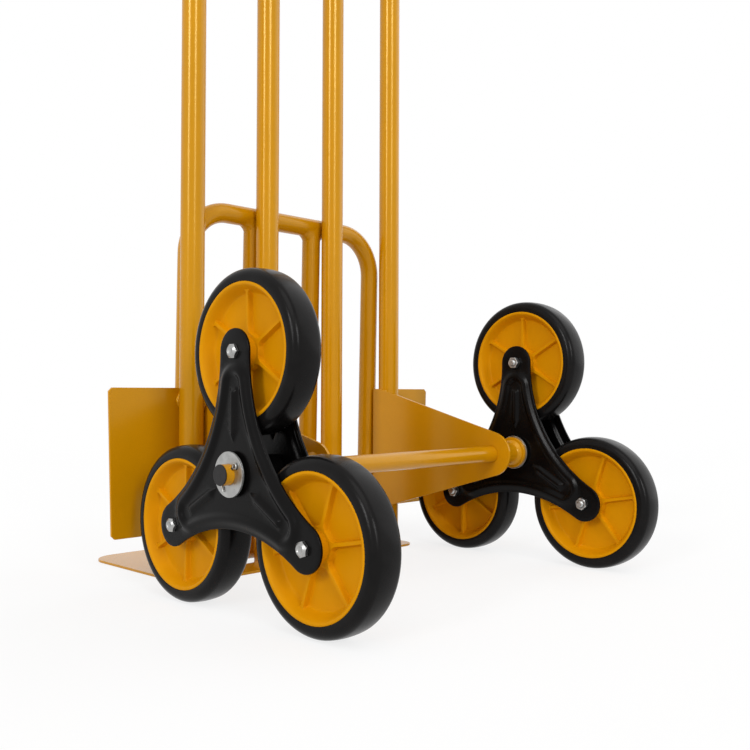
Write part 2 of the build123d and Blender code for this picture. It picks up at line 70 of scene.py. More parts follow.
MM = 0.001
RIGHT, FORWARD, UP = Vector((1, 0, 0)), Vector((0, 1, 0)), Vector((0, 0, 1))
WHITE = (1, 1, 1, 1)
SIDES = (("left", -1), ("right", 1))
WHEEL_PLACES = ("top", "front", "rear")
WHEELS = [(side, place) for side, _ in SIDES for place in WHEEL_PLACES]
SQUARE_EDGE = radians(35)
CAP_EDGE = 0.5 * MM
PLAY = 0.05 * MM


def middle(node):
    """The middle of a frame node's box."""
    low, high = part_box(node)
    return (low + high) / 2


def half_size(node, axis):
    """Half of a frame node's size along an axis."""
    low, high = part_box(node)
    return (getattr(high, axis) - getattr(low, axis)) / 2


def reach(node, direction):
    """The lowest and the highest place of a frame node along a direction."""
    places = [vertex.co.dot(direction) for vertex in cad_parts[node].data.vertices]
    return min(places), max(places)


# Places and sizes read from the frame
axle_spot = middle("axle_tube")
star_reach = middle("left_top_tyre").z - axle_spot.z
upright_r = half_size("right_inner_upright", "x")
upright_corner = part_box("right_outer_upright")[1]
upright_x = {"outer": upright_corner.x - upright_r, "inner": middle("right_inner_upright").x}
upright_y = upright_corner.y - upright_r
bracket_x = upright_x["outer"] - upright_r
bracket_low, bracket_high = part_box("right_axle_bracket")
toe_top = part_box("toe_plate")[1].z
cross_r = half_size("top_cross_tube", "z")
hinge_spot = middle("hinge_tube")
loop_r = half_size("hinge_tube", "z")


def size(name, text, millimetres):
    """A length that a user would change, given in millimetres."""
    return FloatProperty(name=name, description=text, default=millimetres * MM, unit="LENGTH", precision=5)


def angle(name, text, in_degrees):
    """An angle that a user would change, given in degrees."""
    return FloatProperty(name=name, description=text, default=radians(in_degrees), subtype="ANGLE")


def counted(name, text, value, least):
    """A whole number that a user would change."""
    return IntProperty(name=name, description=text, default=value, min=least)


def amount(name, text, value, **limits):
    """A plain number that a user would change."""
    return FloatProperty(name=name, description=text, default=value, **limits)


def shade(name, text, colour):
    """A colour that a user would change."""
    return FloatVectorProperty(name=name, description=text, default=colour, size=3, min=0, max=1,
                               subtype="COLOR")


class TruckFinishes(PropertyGroup):
    """Colours of the truck's finishes."""

    frame_yellow: shade("Frame yellow", "Powder coat on tubes and sheets", (0.580, 0.252, 0.001))
    hub_yellow: shade("Hub yellow", "Moulded plastic of the wheel hubs", (0.665, 0.278, 0.0004))
    tyre_black: shade("Tyre black", "Rubber of the tyres", (0.0058, 0.0053, 0.0052))
    star_black: shade("Star black", "Enamel on the star plates", (0.0026, 0.0023, 0.0023))
    zinc_grey: shade("Zinc grey", "Plating on bolts, nuts, washers and pins", (0.42, 0.42, 0.41))
    nylon_white: shade("Nylon white", "Bushes in the stars and the hinge", (0.62, 0.60, 0.54))
    grip_black: shade("Grip black", "Rubber of the hand grips", (0.016, 0.016, 0.017))
    cap_black: shade("Cap black", "Plastic of the axle and rod caps", (0.010, 0.009, 0.009))


class TruckSizes(PropertyGroup):
    """Sizes of the pieces that are made here."""

    weld_leg: size("Weld leg", "Height of an ordinary fillet weld", 4.0)
    stitch_length: size("Stitch length", "Length of a stitch weld between a tube and a sheet", 23.0)
    ripple_pitch: size("Ripple pitch", "Step of the ripples along a weld", 1.9)
    ripple_depth: size("Ripple depth", "Height of the ripples along a weld", 0.16)
    sheet_edge: size("Sheet edge", "Rounding of sheet edges", 0.5)
    star_waist: size("Star waist", "Least distance from the axle to a star plate's hollow side", 52.0)
    star_lobe: size("Star lobe", "Radius of a star plate's lobes", 21.8)
    star_sheet: size("Star sheet", "Thickness of a star plate", 2.5)
    star_edge: size("Star edge", "Rounding of a star plate's outer edge", 0.8)
    ridge_rise: size("Ridge rise", "Height of the ridge and the ribs pressed into a star plate", 3.0)
    ridge_ledge: size("Ridge ledge", "Flat border outside the ridge", 0.9)
    ridge_slope: size("Ridge slope", "Width of the ridge's outer slope", 8.6)
    ridge_top: size("Ridge top", "Width of the ridge's top", 0.8)
    ridge_inner: size("Ridge inner slope", "Width of the ridge's inner slope", 7.2)
    ridge_end: size("Ridge end", "How far the ridge's round ends stay behind the wheel bolts", 31.5)
    rib_start: size("Rib start", "Distance from the axle to the inner point of an arm's rib", 28.0)
    rib_end: size("Rib end", "Distance from the axle to the blunt end of an arm's rib", 81.0)
    rib_half: size("Rib half width", "Half the width of an arm's rib at its foot", 6.0)
    rib_point: size("Rib point", "Length of the rib's inner point", 12.0)
    tyre_shoulder: size("Tyre shoulder", "Radius of the tyre's shoulders", 9.0)
    tyre_crown: size("Tyre crown", "Radius of the tread across the tyre", 75.0)
    tyre_edge: size("Tyre edge", "Rounding of the tyre's inner edges", 0.8)
    tyre_steps: counted("Tyre steps", "Steps around a tyre", 144, 24)
    bolt_across: size("Bolt across flats", "Width of bolt heads and nuts", 13.0)
    bolt_thread: size("Bolt thread", "Outer diameter of the bolts", 8.0)
    thread_pitch: size("Thread pitch", "Pitch of the bolt thread", 1.25)
    thread_depth: size("Thread depth", "Depth of the bolt thread", 0.6)
    grip_wall: size("Grip wall", "Thickness of a hand grip round its tube", 4.0)
    grip_guard: size("Grip guard", "Thickness of the guard at a grip's inner end", 6.0)
    grip_groove: size("Grip groove", "Depth of the grooves on a hand grip", 1.2)
    grip_grooves: counted("Grip grooves", "Grooves round a hand grip", 6, 1)
    handle_turn: angle("Handle turn", "How far the handles bend back from upright", 65)
    hub_lip: size("Hub lip", "Width of the flat lip round a hub", 2.0)
    hub_wall: size("Hub wall", "How far the hub's inside wall runs in from the lip to the web", 9.5)
    hub_web: size("Hub web", "Thickness of a hub's web", 10.0)
    hub_rib: size("Hub rib", "Thickness of a hub's ribs at their tops", 3.0)
    hub_rib_drop: size("Hub rib drop", "How far the ribs stay below the lip", 7.5)
    hub_root: size("Hub rib root", "Radius at the inner ends of the ribs", 8.0)
    hub_tip: size("Hub rib tip", "Radius at the outer ends of the ribs", 3.0)
    hub_boss: size("Hub boss", "Diameter of the boss that the ribs run into", 35.0)
    hub_neck: size("Hub neck", "Diameter of the boss's raised middle", 31.0)
    hub_flank: size("Hub flank", "Width of the slope at a rib's side", 1.6)
    hub_ribs: counted("Hub ribs", "Ribs on each side of a hub", 6, 3)


class TruckStage(PropertyGroup):
    """The studio: camera, lamps and floor."""

    camera_x: size("Camera x", "Camera's place to the right", -764.18)
    camera_y: size("Camera y", "Camera's place forward", -783.84)
    camera_z: size("Camera z", "Camera's height", 215.85)
    camera_yaw: angle("Camera yaw", "Turn of the view from forward to the right", 45.8)
    camera_tilt: angle("Camera tilt", "Turn of the view above the horizon", 1.0)
    camera_roll: angle("Camera roll", "Turn of the picture about the view", 0.2)
    lens: amount("Lens", "Focal length in millimetres on a 36 mm sensor", 43.43)
    surround: amount("Surround", "Level of the even light from all around", 0.54, min=0)
    left_level: amount("Left level", "Light from the strip on the camera's left", 0.28, min=0)
    right_level: amount("Right level", "Light from the strip on the camera's right", 0.22, min=0)
    top_level: amount("Top level", "Light from the soft lamp high above the camera", 0.20, min=0)
    side_level: amount("Side level", "Light from the soft lamp far on the right", 0.24, min=0)
    floor_shade: amount("Floor shade", "How dark the truck's shadow on the floor is", 0.22, min=0, max=0.6)


# Mesh making


class Shell:
    """Corners and faces of a mesh while it is being made."""

    def __init__(self):
        self.corners = []
        self.faces = []

    def loop(self, points):
        """Add points and give their numbers."""
        first = len(self.corners)
        self.corners.extend(points)
        return list(range(first, len(self.corners)))

    def bridge(self, lower, upper):
        """Join two closed loops of equal length with four sided faces."""
        for step, here in enumerate(lower):
            after = (step + 1) % len(lower)
            self.faces.append((here, lower[after], upper[after], upper[step]))

    def bridge_all(self, loops):
        """Join each loop to the next."""
        for lower, upper in zip(loops, loops[1:]):
            self.bridge(lower, upper)

    def cap(self, loop, flip=False):
        """Close a loop with a fan of triangles about its middle."""
        centre = sum((self.corners[number] for number in loop), Vector()) / len(loop)
        tip = self.loop([centre])[0]
        for here, after in zip(loop, loop[1:] + loop[:1]):
            self.faces.append((after, here, tip) if flip else (here, after, tip))

    def piece(self, name, body, slot, place=None, square_edge=SQUARE_EDGE):
        """Make the object with its corners moved to a place, and let it ride on a body."""
        data = bpy.data.meshes.new(name)
        corners = [place @ corner for corner in self.corners] if place else self.corners
        data.from_pydata(corners, [], self.faces)
        data.polygons.foreach_set("use_smooth", [True] * len(data.polygons))
        data.set_sharp_from_angle(angle=square_edge)
        data.materials.append(finish_for(slot))
        piece = bpy.data.objects.new(name, data)
        bpy.context.scene.collection.objects.link(piece)
        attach(piece, body)
        return piece


def polar(turn, radius=1.0):
    """A point of a plane, at a turn and a distance from its middle."""
    return Vector((cos(turn), sin(turn))) * radius


def about_x(x, radius, turn):
    """A point at a radius and a turn about the X axis."""
    return Vector((x, radius * cos(turn), radius * sin(turn)))


def ring(radius, x, steps):
    """Points of a circle about the X axis."""
    return [about_x(x, radius, tau * step / steps) for step in range(steps)]


def turned(profile, steps):
    """A shell turned about the X axis from a closed outline of (radius, x) points."""
    shell = Shell()
    loops = [shell.loop(ring(radius, x, steps)) for radius, x in profile]
    shell.bridge_all(loops + loops[:1])
    return shell


def arc(centre, radius, start, stop, steps):
    """Points on an arc in a (radius, x) profile, with angles in degrees."""
    turns = [radians(start + (stop - start) * step / steps) for step in range(steps + 1)]
    return [(centre[0] + radius * cos(turn), centre[1] + radius * sin(turn)) for turn in turns]


def ease(share):
    """A soft step from 0 to 1."""
    share = min(1.0, max(0.0, share))
    return share * share * (3 - 2 * share)


def ease_back(value):
    """The share at which the soft step has reached a value."""
    return 0.5 - sin(asin(1 - 2 * value) / 3)


# Finishes


def add_node(tree, kind, inputs, **settings):
    """Add a node with settings, and set or link its inputs, which go by name or by number."""
    made = tree.nodes.new(kind)
    for name, value in settings.items():
        setattr(made, name, value)
    for key, value in inputs.items():
        if isinstance(value, bpy.types.NodeSocket):
            tree.links.new(value, made.inputs[key])
        else:
            made.inputs[key].default_value = value
    return made


def scaled(colour, factor):
    """A colour made lighter or darker, for a colour socket."""
    return (*(min(1.0, channel * factor) for channel in colour), 1.0)


class Finish:
    """A node material in the making, with object coordinates. Grains and depths are in metres."""

    def __init__(self, name, sockets):
        self.material = bpy.data.materials.new(name)
        self.material.use_nodes = True
        self.tree = self.material.node_tree
        self.shader = self.tree.nodes["Principled BSDF"]
        for socket, value in sockets.items():
            self.shader.inputs[socket].default_value = value
        self.place = self.tree.nodes.new("ShaderNodeTexCoord").outputs["Object"]

    def specks(self, grain, detail=3.0, roughness=0.55):
        """Noise with a grain of that size."""
        inputs = {"Vector": self.place, "Scale": 1 / grain, "Detail": detail, "Roughness": roughness}
        return add_node(self.tree, "ShaderNodeTexNoise", inputs).outputs["Fac"]

    def spread(self, factor, low, high, start=0.3, stop=0.7):
        """A factor remapped from start and stop to low and high."""
        inputs = {"Value": factor, "From Min": start, "From Max": stop, "To Min": low, "To Max": high}
        return add_node(self.tree, "ShaderNodeMapRange", inputs).outputs["Result"]

    def mix(self, factor, first, second):
        """A colour between two colours. The node's colour sockets go by number."""
        inputs = {0: factor, 6: first, 7: second}
        return add_node(self.tree, "ShaderNodeMix", inputs, data_type="RGBA").outputs[2]

    def clouds(self, colour, dark, light, grain, detail, roughness=0.55):
        """Clouds between a darker and a lighter tone of a colour."""
        cloud = self.spread(self.specks(grain, detail, roughness), 0, 1)
        return self.mix(cloud, scaled(colour, dark), scaled(colour, light))

    def give(self, socket, output):
        """Link an output to one of the main shader's sockets."""
        self.tree.links.new(output, self.shader.inputs[socket])

    def gloss(self, smooth, rough, grain, detail=3.0):
        """Let the roughness wander between two values."""
        self.give("Roughness", self.spread(self.specks(grain, detail), smooth, rough))

    def relief(self, depth, grain, detail, roughness=0.55):
        """Give the surface a fine relief."""
        inputs = {"Height": self.specks(grain, detail, roughness), "Distance": depth}
        self.give("Normal", add_node(self.tree, "ShaderNodeBump", inputs).outputs["Normal"])


def powder_coat(colour):
    """Yellow powder coat: slightly uneven colour, orange peel and a satin shine."""
    made = Finish("powder_coat_yellow",
                  {"Specular IOR Level": 0.54, "Specular Tint": (1.0, 0.86, 0.36, 1.0)})
    tone = made.clouds(colour, dark=0.94, light=1.05, grain=110 * MM, detail=4)
    speck = made.spread(made.specks(grain=1.6 * MM, detail=2), 0, 1, start=0.25, stop=0.75)
    made.give("Base Color", made.mix(made.spread(speck, 0.0, 0.35), tone, scaled(colour, 0.90)))
    made.gloss(0.19, 0.22, grain=30 * MM)
    made.relief(0.006 * MM, grain=2.2 * MM, detail=2, roughness=0.5)
    return made.material


def hub_plastic(colour):
    """Moulded yellow plastic with faint flow marks and a matt grain."""
    made = Finish("moulded_hub_yellow", {"Specular IOR Level": 0.06})
    made.give("Base Color", made.clouds(colour, dark=0.95, light=1.05, grain=35 * MM, detail=3))
    made.gloss(0.38, 0.52, grain=12 * MM)
    made.relief(0.03 * MM, grain=1.2 * MM, detail=2, roughness=0.5)
    return made.material


def tyre_rubber(colour):
    """Smooth black rubber with a grey bloom and a fine mould grain."""
    made = Finish("tyre_rubber_black", {"Specular IOR Level": 0.10})
    bloom = made.clouds(colour, dark=0.8, light=1.35, grain=22 * MM, detail=4, roughness=0.6)
    made.give("Base Color", bloom)
    made.gloss(0.20, 0.28, grain=14 * MM, detail=4)
    made.relief(0.03 * MM, grain=1.4 * MM, detail=3)
    return made.material


def star_enamel(colour):
    """Semi gloss black enamel over pressed steel."""
    made = Finish("star_enamel_black", {"Specular IOR Level": 0.10})
    made.give("Base Color", made.clouds(colour, dark=0.85, light=1.2, grain=30 * MM, detail=4))
    made.gloss(0.20, 0.28, grain=20 * MM)
    made.relief(0.06 * MM, grain=2.6 * MM, detail=2, roughness=0.5)
    return made.material


def zinc_plating(colour):
    """Bright zinc plating with a faint crystal pattern and dull patches."""
    made = Finish("zinc_plating", {"Metallic": 1.0})
    made.give("Base Color", made.clouds(colour, dark=0.8, light=1.1, grain=6 * MM, detail=4))
    made.gloss(0.26, 0.48, grain=3 * MM, detail=4)
    made.relief(0.03 * MM, grain=0.8 * MM, detail=3)
    return made.material


def nylon(colour):
    """Natural nylon, slightly uneven and waxy."""
    made = Finish("nylon_natural", {"Specular IOR Level": 0.35})
    made.give("Base Color", made.clouds(colour, dark=0.9, light=1.05, grain=8 * MM, detail=3))
    made.gloss(0.42, 0.58, grain=4 * MM)
    made.relief(0.02 * MM, grain=1.0 * MM, detail=2)
    return made.material


def grip_rubber(colour):
    """Matt black rubber with a leathery grain."""
    made = Finish("grip_rubber_black", {"Specular IOR Level": 0.35})
    made.give("Base Color", made.clouds(colour, dark=0.8, light=1.4, grain=12 * MM, detail=4))
    made.gloss(0.52, 0.70, grain=5 * MM, detail=4)
    made.relief(0.16 * MM, grain=1.3 * MM, detail=4, roughness=0.65)
    return made.material


def cap_plastic(colour):
    """Black push-in caps with a fine spark texture."""
    made = Finish("cap_plastic_black", {"Specular IOR Level": 0.30})
    made.give("Base Color", made.clouds(colour, dark=0.8, light=1.3, grain=4 * MM, detail=3))
    made.gloss(0.45, 0.60, grain=2 * MM)
    made.relief(0.04 * MM, grain=0.7 * MM, detail=2)
    return made.material


FINISHES = {
    "frame_paint": (powder_coat, "frame_yellow"),
    "hub_plastic": (hub_plastic, "hub_yellow"),
    "tyre_rubber": (tyre_rubber, "tyre_black"),
    "star_paint": (star_enamel, "star_black"),
    "zinc": (zinc_plating, "zinc_grey"),
    "nylon": (nylon, "nylon_white"),
    "grip_rubber": (grip_rubber, "grip_black"),
    "cap_plastic": (cap_plastic, "cap_black"),
}
finishes_made = {}


def finish_for(slot):
    """The finish of a material slot, made once."""
    if slot not in finishes_made:
        maker, colour = FINISHES[slot]
        finishes_made[slot] = maker(tuple(getattr(bpy.context.scene.truck_finishes, colour)))
    return finishes_made[slot]


def dress(slot, *nodes):
    """Give frame nodes the finish of a slot."""
    for node in nodes:
        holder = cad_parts[node].material_slots[0]
        holder.link = "OBJECT"
        holder.material = finish_for(slot)


def round_edges(width, *nodes):
    """Round the edges of frame nodes with modifiers, which leave their meshes as they are."""
    same_corner, flat_turn = 0.002 * MM, radians(0.4)
    for node in nodes:
        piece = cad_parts[node]
        joined = piece.modifiers.new("join_corners", "WELD")
        joined.merge_threshold = same_corner
        flattened = piece.modifiers.new("join_flat_faces", "DECIMATE")
        flattened.decimate_type = "DISSOLVE"
        flattened.angle_limit = flat_turn
        rounded = piece.modifiers.new("round_edges", "BEVEL")
        rounded.width = width
        rounded.segments = 2
        rounded.limit_method = "ANGLE"
        rounded.angle_limit = SQUARE_EDGE
        smoothed = piece.modifiers.new("smooth_faces", "WEIGHTED_NORMAL")
        smoothed.keep_sharp = False


# Weld beads


class Welds:
    """Weld beads of one body, gathered into one mesh."""

    steps_across = 6
    # Step from station to station on straight beads, and in degrees round tubes
    station_gap = 0.5 * MM
    station_degrees = 4
    # Share of its size to which a bead shrinks at its ends
    least_end = 0.08
    # How far ripples bow and scatter, in ripples, and the scatter's cells to a metre
    ripple_bow, ripple_scatter, scatter_scale = 0.35, 0.3, 90
    # A stitch's root and the way from it to its feet, as shares of its reach to the side
    stitch_root, stitch_tube, stitch_sheet = 0.25, 0.75, 0.85
    square_edge = radians(70)

    def __init__(self, sizes):
        self.sizes = sizes
        self.shell = Shell()

    def bead(self, stations, swell, closed=False):
        """One bead through stations of (root, first foot, second foot), swelling out (+) or in (-)."""
        roots = [root for root, _, _ in stations]
        along = [0.0]
        for here, after in zip(roots, roots[1:]):
            along.append(along[-1] + (after - here).length)
        loops = []
        for place, (root, first, second) in zip(along, stations):
            share = 1.0
            if not closed:
                blunt = min(place, along[-1] - place) / (first - root).length
                share = max(self.least_end, sqrt(min(1.0, blunt)))
            loops.append(self.shell.loop(self.section(root, first, second, swell, share, place)))
        if closed:
            self.shell.bridge_all(loops + loops[:1])
        else:
            self.shell.bridge_all(loops)
            self.shell.cap(loops[0])
            self.shell.cap(loops[-1], flip=True)

    def section(self, root, first, second, swell, share, place):
        """The outline of a bead at one station, starting at its root."""
        first = root.lerp(first, share)
        second = root.lerp(second, share)
        chord = (first + second) / 2
        bulge = chord + (chord - root) * swell
        points = [root]
        for step in range(self.steps_across + 1):
            part = step / self.steps_across
            face = first.lerp(bulge, part).lerp(bulge.lerp(second, part), part)
            crescent = 4 * part * (1 - part)
            scatter = self.ripple_scatter * noise.noise(face * self.scatter_scale)
            phase = (place / self.sizes.ripple_pitch + self.ripple_bow * crescent + scatter) * tau
            wave = self.sizes.ripple_depth * crescent * share * sin(phase)
            points.append(face + (face - root).normalized() * wave)
        return points

    def branch(self, joint, branch_dir, main_dir, branch_r, main_r, leg, swell):
        """A bead round a tube that ends on another tube."""
        across = branch_dir.cross(main_dir)
        stations = []
        count = 360 // self.station_degrees
        for number in range(count):
            turn = tau * number / count
            lean = asin(min(1.0, max(-1.0, branch_r * sin(turn) / main_r)))
            far_lean = lean + leg * sin(turn) / main_r
            on_main = []
            for radius, tilt in ((branch_r, lean), (branch_r + leg, far_lean)):
                outward = branch_dir * cos(tilt) + across * sin(tilt)
                on_main.append(joint + main_dir * radius * cos(turn) + outward * main_r)
            root, second = on_main
            stations.append((root, root + branch_dir * leg, second))
        self.bead(stations, swell, closed=True)

    def foot(self, base, axis, side, radius, leg, swell, start=0, stop=360):
        """A bead round a tube that stands on a flat face, or along a stretch of its foot in degrees."""
        other = axis.cross(side)
        closed = stop - start >= 360
        count = (stop - start) // self.station_degrees
        stations = []
        for number in range(count + (0 if closed else 1)):
            turn = radians(start + (stop - start) * number / count)
            outward = side * cos(turn) + other * sin(turn)
            root = base + outward * radius
            stations.append((root, root + axis * leg, root + outward * leg))
        self.bead(stations, swell, closed)

    def stitch(self, contact, outward, sideways, radius, start_z, reach_turn, swell):
        """An upright stitch between a tube and a sheet that touches it along a line."""
        length = self.sizes.stitch_length
        lateral = radius * sin(reach_turn)
        gap = radius * (1 - cos(reach_turn))
        count = int(length / self.station_gap)
        stations = []
        for number in range(count + 1):
            on_line = Vector((contact.x, contact.y, start_z + length * number / count))
            root = on_line + sideways * lateral * self.stitch_root
            on_tube = root + sideways * lateral * self.stitch_tube + outward * gap
            on_sheet = root + sideways * lateral * self.stitch_sheet
            stations.append((root, on_tube, on_sheet))
        self.bead(stations, swell)

    def straight(self, start, stop, up, outward, leg, swell):
        """A straight fillet bead between two flat faces."""
        count = int((stop - start).length / self.station_gap)
        points = [start.lerp(stop, number / count) for number in range(count + 1)]
        self.bead([(point, point + up * leg, point + outward * leg) for point in points], swell)

    def piece(self, name, body):
        """Make the beads one piece of that body."""
        return self.shell.piece(name, body, "frame_paint", square_edge=self.square_edge)


class TRUCK_OT_paint_frame(Operator):
    """Paint the frame's tubes, sheets and axle, with rounded sheet edges"""

    bl_idname = "truck.paint_frame"
    bl_label = "Paint the frame"

    def execute(self, context):
        tubes = [f"{side}_{row}_upright" for side, _ in SIDES for row in upright_x]
        dress("frame_paint", *tubes, "top_cross_tube", "middle_cross_tubes", "axle_tube", "axle_sleeves")
        sheets = ["toe_plate", "left_axle_bracket", "right_axle_bracket", "hinge_ears", "axle_collars"]
        dress("frame_paint", *sheets)
        round_edges(context.scene.truck_sizes.sheet_edge, *sheets)
        return {"FINISHED"}


class TRUCK_OT_weld_frame(Operator):
    """Lay the weld beads of the fixed frame"""

    bl_idname = "truck.weld_frame"
    bl_label = "Weld the frame"

    # Stretches of the beads round the uprights' feet, in degrees
    foot_spans = {"outer": (0, 360), "inner": (150, 390)}
    # Distance of the stitches from the sheets' ends, and the turn round the tube that they reach
    stitch_margin = 3 * MM
    wing_turn, plate_turn = radians(52), radians(48)
    # Legs as shares of an ordinary weld's
    cross_share, axle_share, ear_share = 0.8, 0.9, 0.7

    def execute(self, context):
        welds = Welds(context.scene.truck_sizes)
        leg = welds.sizes.weld_leg
        self.weld_feet(welds, leg)
        self.weld_brackets(welds)
        self.weld_cross_tubes(welds, self.cross_share * leg)
        self.weld_axle(welds, self.axle_share * leg)
        self.weld_ears(welds, self.ear_share * leg)
        welds.piece("frame_weld_beads", "frame")
        return {"FINISHED"}

    def weld_feet(self, welds, leg):
        """Beads where the uprights stand on the toe plate; the inner ones stop at the window."""
        for _, sign in SIDES:
            for row, x in upright_x.items():
                base = Vector((sign * x, upright_y, toe_top))
                start, stop = self.foot_spans[row]
                welds.foot(base, UP, RIGHT, upright_r, leg, swell=0.15, start=start, stop=stop)

    def weld_brackets(self, welds):
        """Stitches between the outer uprights and the bracket sheets, near the sheets' ends."""
        starts = (bracket_high.z - self.stitch_margin - welds.sizes.stitch_length,
                  bracket_low.z + self.stitch_margin)
        for _, sign in SIDES:
            aside = RIGHT * sign
            wing_line = Vector((sign * upright_x["outer"], upright_y + upright_r, 0))
            plate_line = Vector((sign * bracket_x, upright_y, 0))
            for start in starts:
                welds.stitch(wing_line, -FORWARD, aside, upright_r, start, self.wing_turn, swell=0.35)
                welds.stitch(plate_line, aside, -FORWARD, upright_r, start, self.plate_turn, swell=0.35)

    def weld_cross_tubes(self, welds, leg):
        """Beads at both ends of each cross tube, and where the inner uprights meet the top one."""
        top_z = middle("top_cross_tube").z
        middle_z = middle("middle_cross_tubes").z
        for _, sign in SIDES:
            outer = Vector((sign * upright_x["outer"], upright_y, 0))
            inner = Vector((sign * upright_x["inner"], upright_y, 0))
            inward = RIGHT * -sign
            for height in (top_z, middle_z):
                welds.branch(outer + UP * height, inward, UP, cross_r, upright_r, leg, swell=0.1)
            for direction in (inward, -inward):
                welds.branch(inner + UP * middle_z, direction, UP, cross_r, upright_r, leg, swell=0.1)
            welds.branch(inner + UP * top_z, -UP, RIGHT, upright_r, cross_r, leg, swell=0.1)

    def weld_axle(self, welds, leg):
        """Beads where the sleeves meet the bracket plates and the collars."""
        sleeve_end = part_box("axle_sleeves")[1].x
        sleeve_r = half_size("axle_sleeves", "z")
        for _, sign in SIDES:
            for x, way in ((bracket_x, 1), (sleeve_end, -1)):
                base = Vector((sign * x, axle_spot.y, axle_spot.z))
                welds.foot(base, RIGHT * sign * way, UP, sleeve_r, leg, swell=-0.2)

    def weld_ears(self, welds, leg):
        """Beads along the outer feet of the hinge ears."""
        ear_low, ear_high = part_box("hinge_ears")
        for _, sign in SIDES:
            start, stop = (Vector((sign * ear_high.x, y, toe_top)) for y in (ear_low.y, ear_high.y))
            welds.straight(start, stop, UP, RIGHT * sign, leg, swell=0.1)


class TRUCK_OT_build_star_plates(Operator):
    """Press the four star plates: a ridge round inside the outline and a rib along each arm"""

    bl_idname = "truck.build_star_plates"
    bl_label = "Build the star plates"

    def execute(self, context):
        form = StarForm(context.scene.truck_sizes)
        for side, sign in SIDES:
            for layer, outward in (("outer", sign), ("inner", -sign)):
                node = f"{side}_star_{layer}_plate"
                low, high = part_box(node)
                back_x = low.x if outward > 0 else high.x
                place = Matrix.Translation((back_x, axle_spot.y, axle_spot.z))
                piece = form.plate(outward).piece(f"{side}_star_{layer}_pressing", f"{side}_star",
                                                  "star_paint", place, square_edge=radians(60))
                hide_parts(node)
            dress("star_paint", f"{side}_star_hub_tube")
            dress("nylon", f"{side}_star_bush")
        return {"FINISHED"}


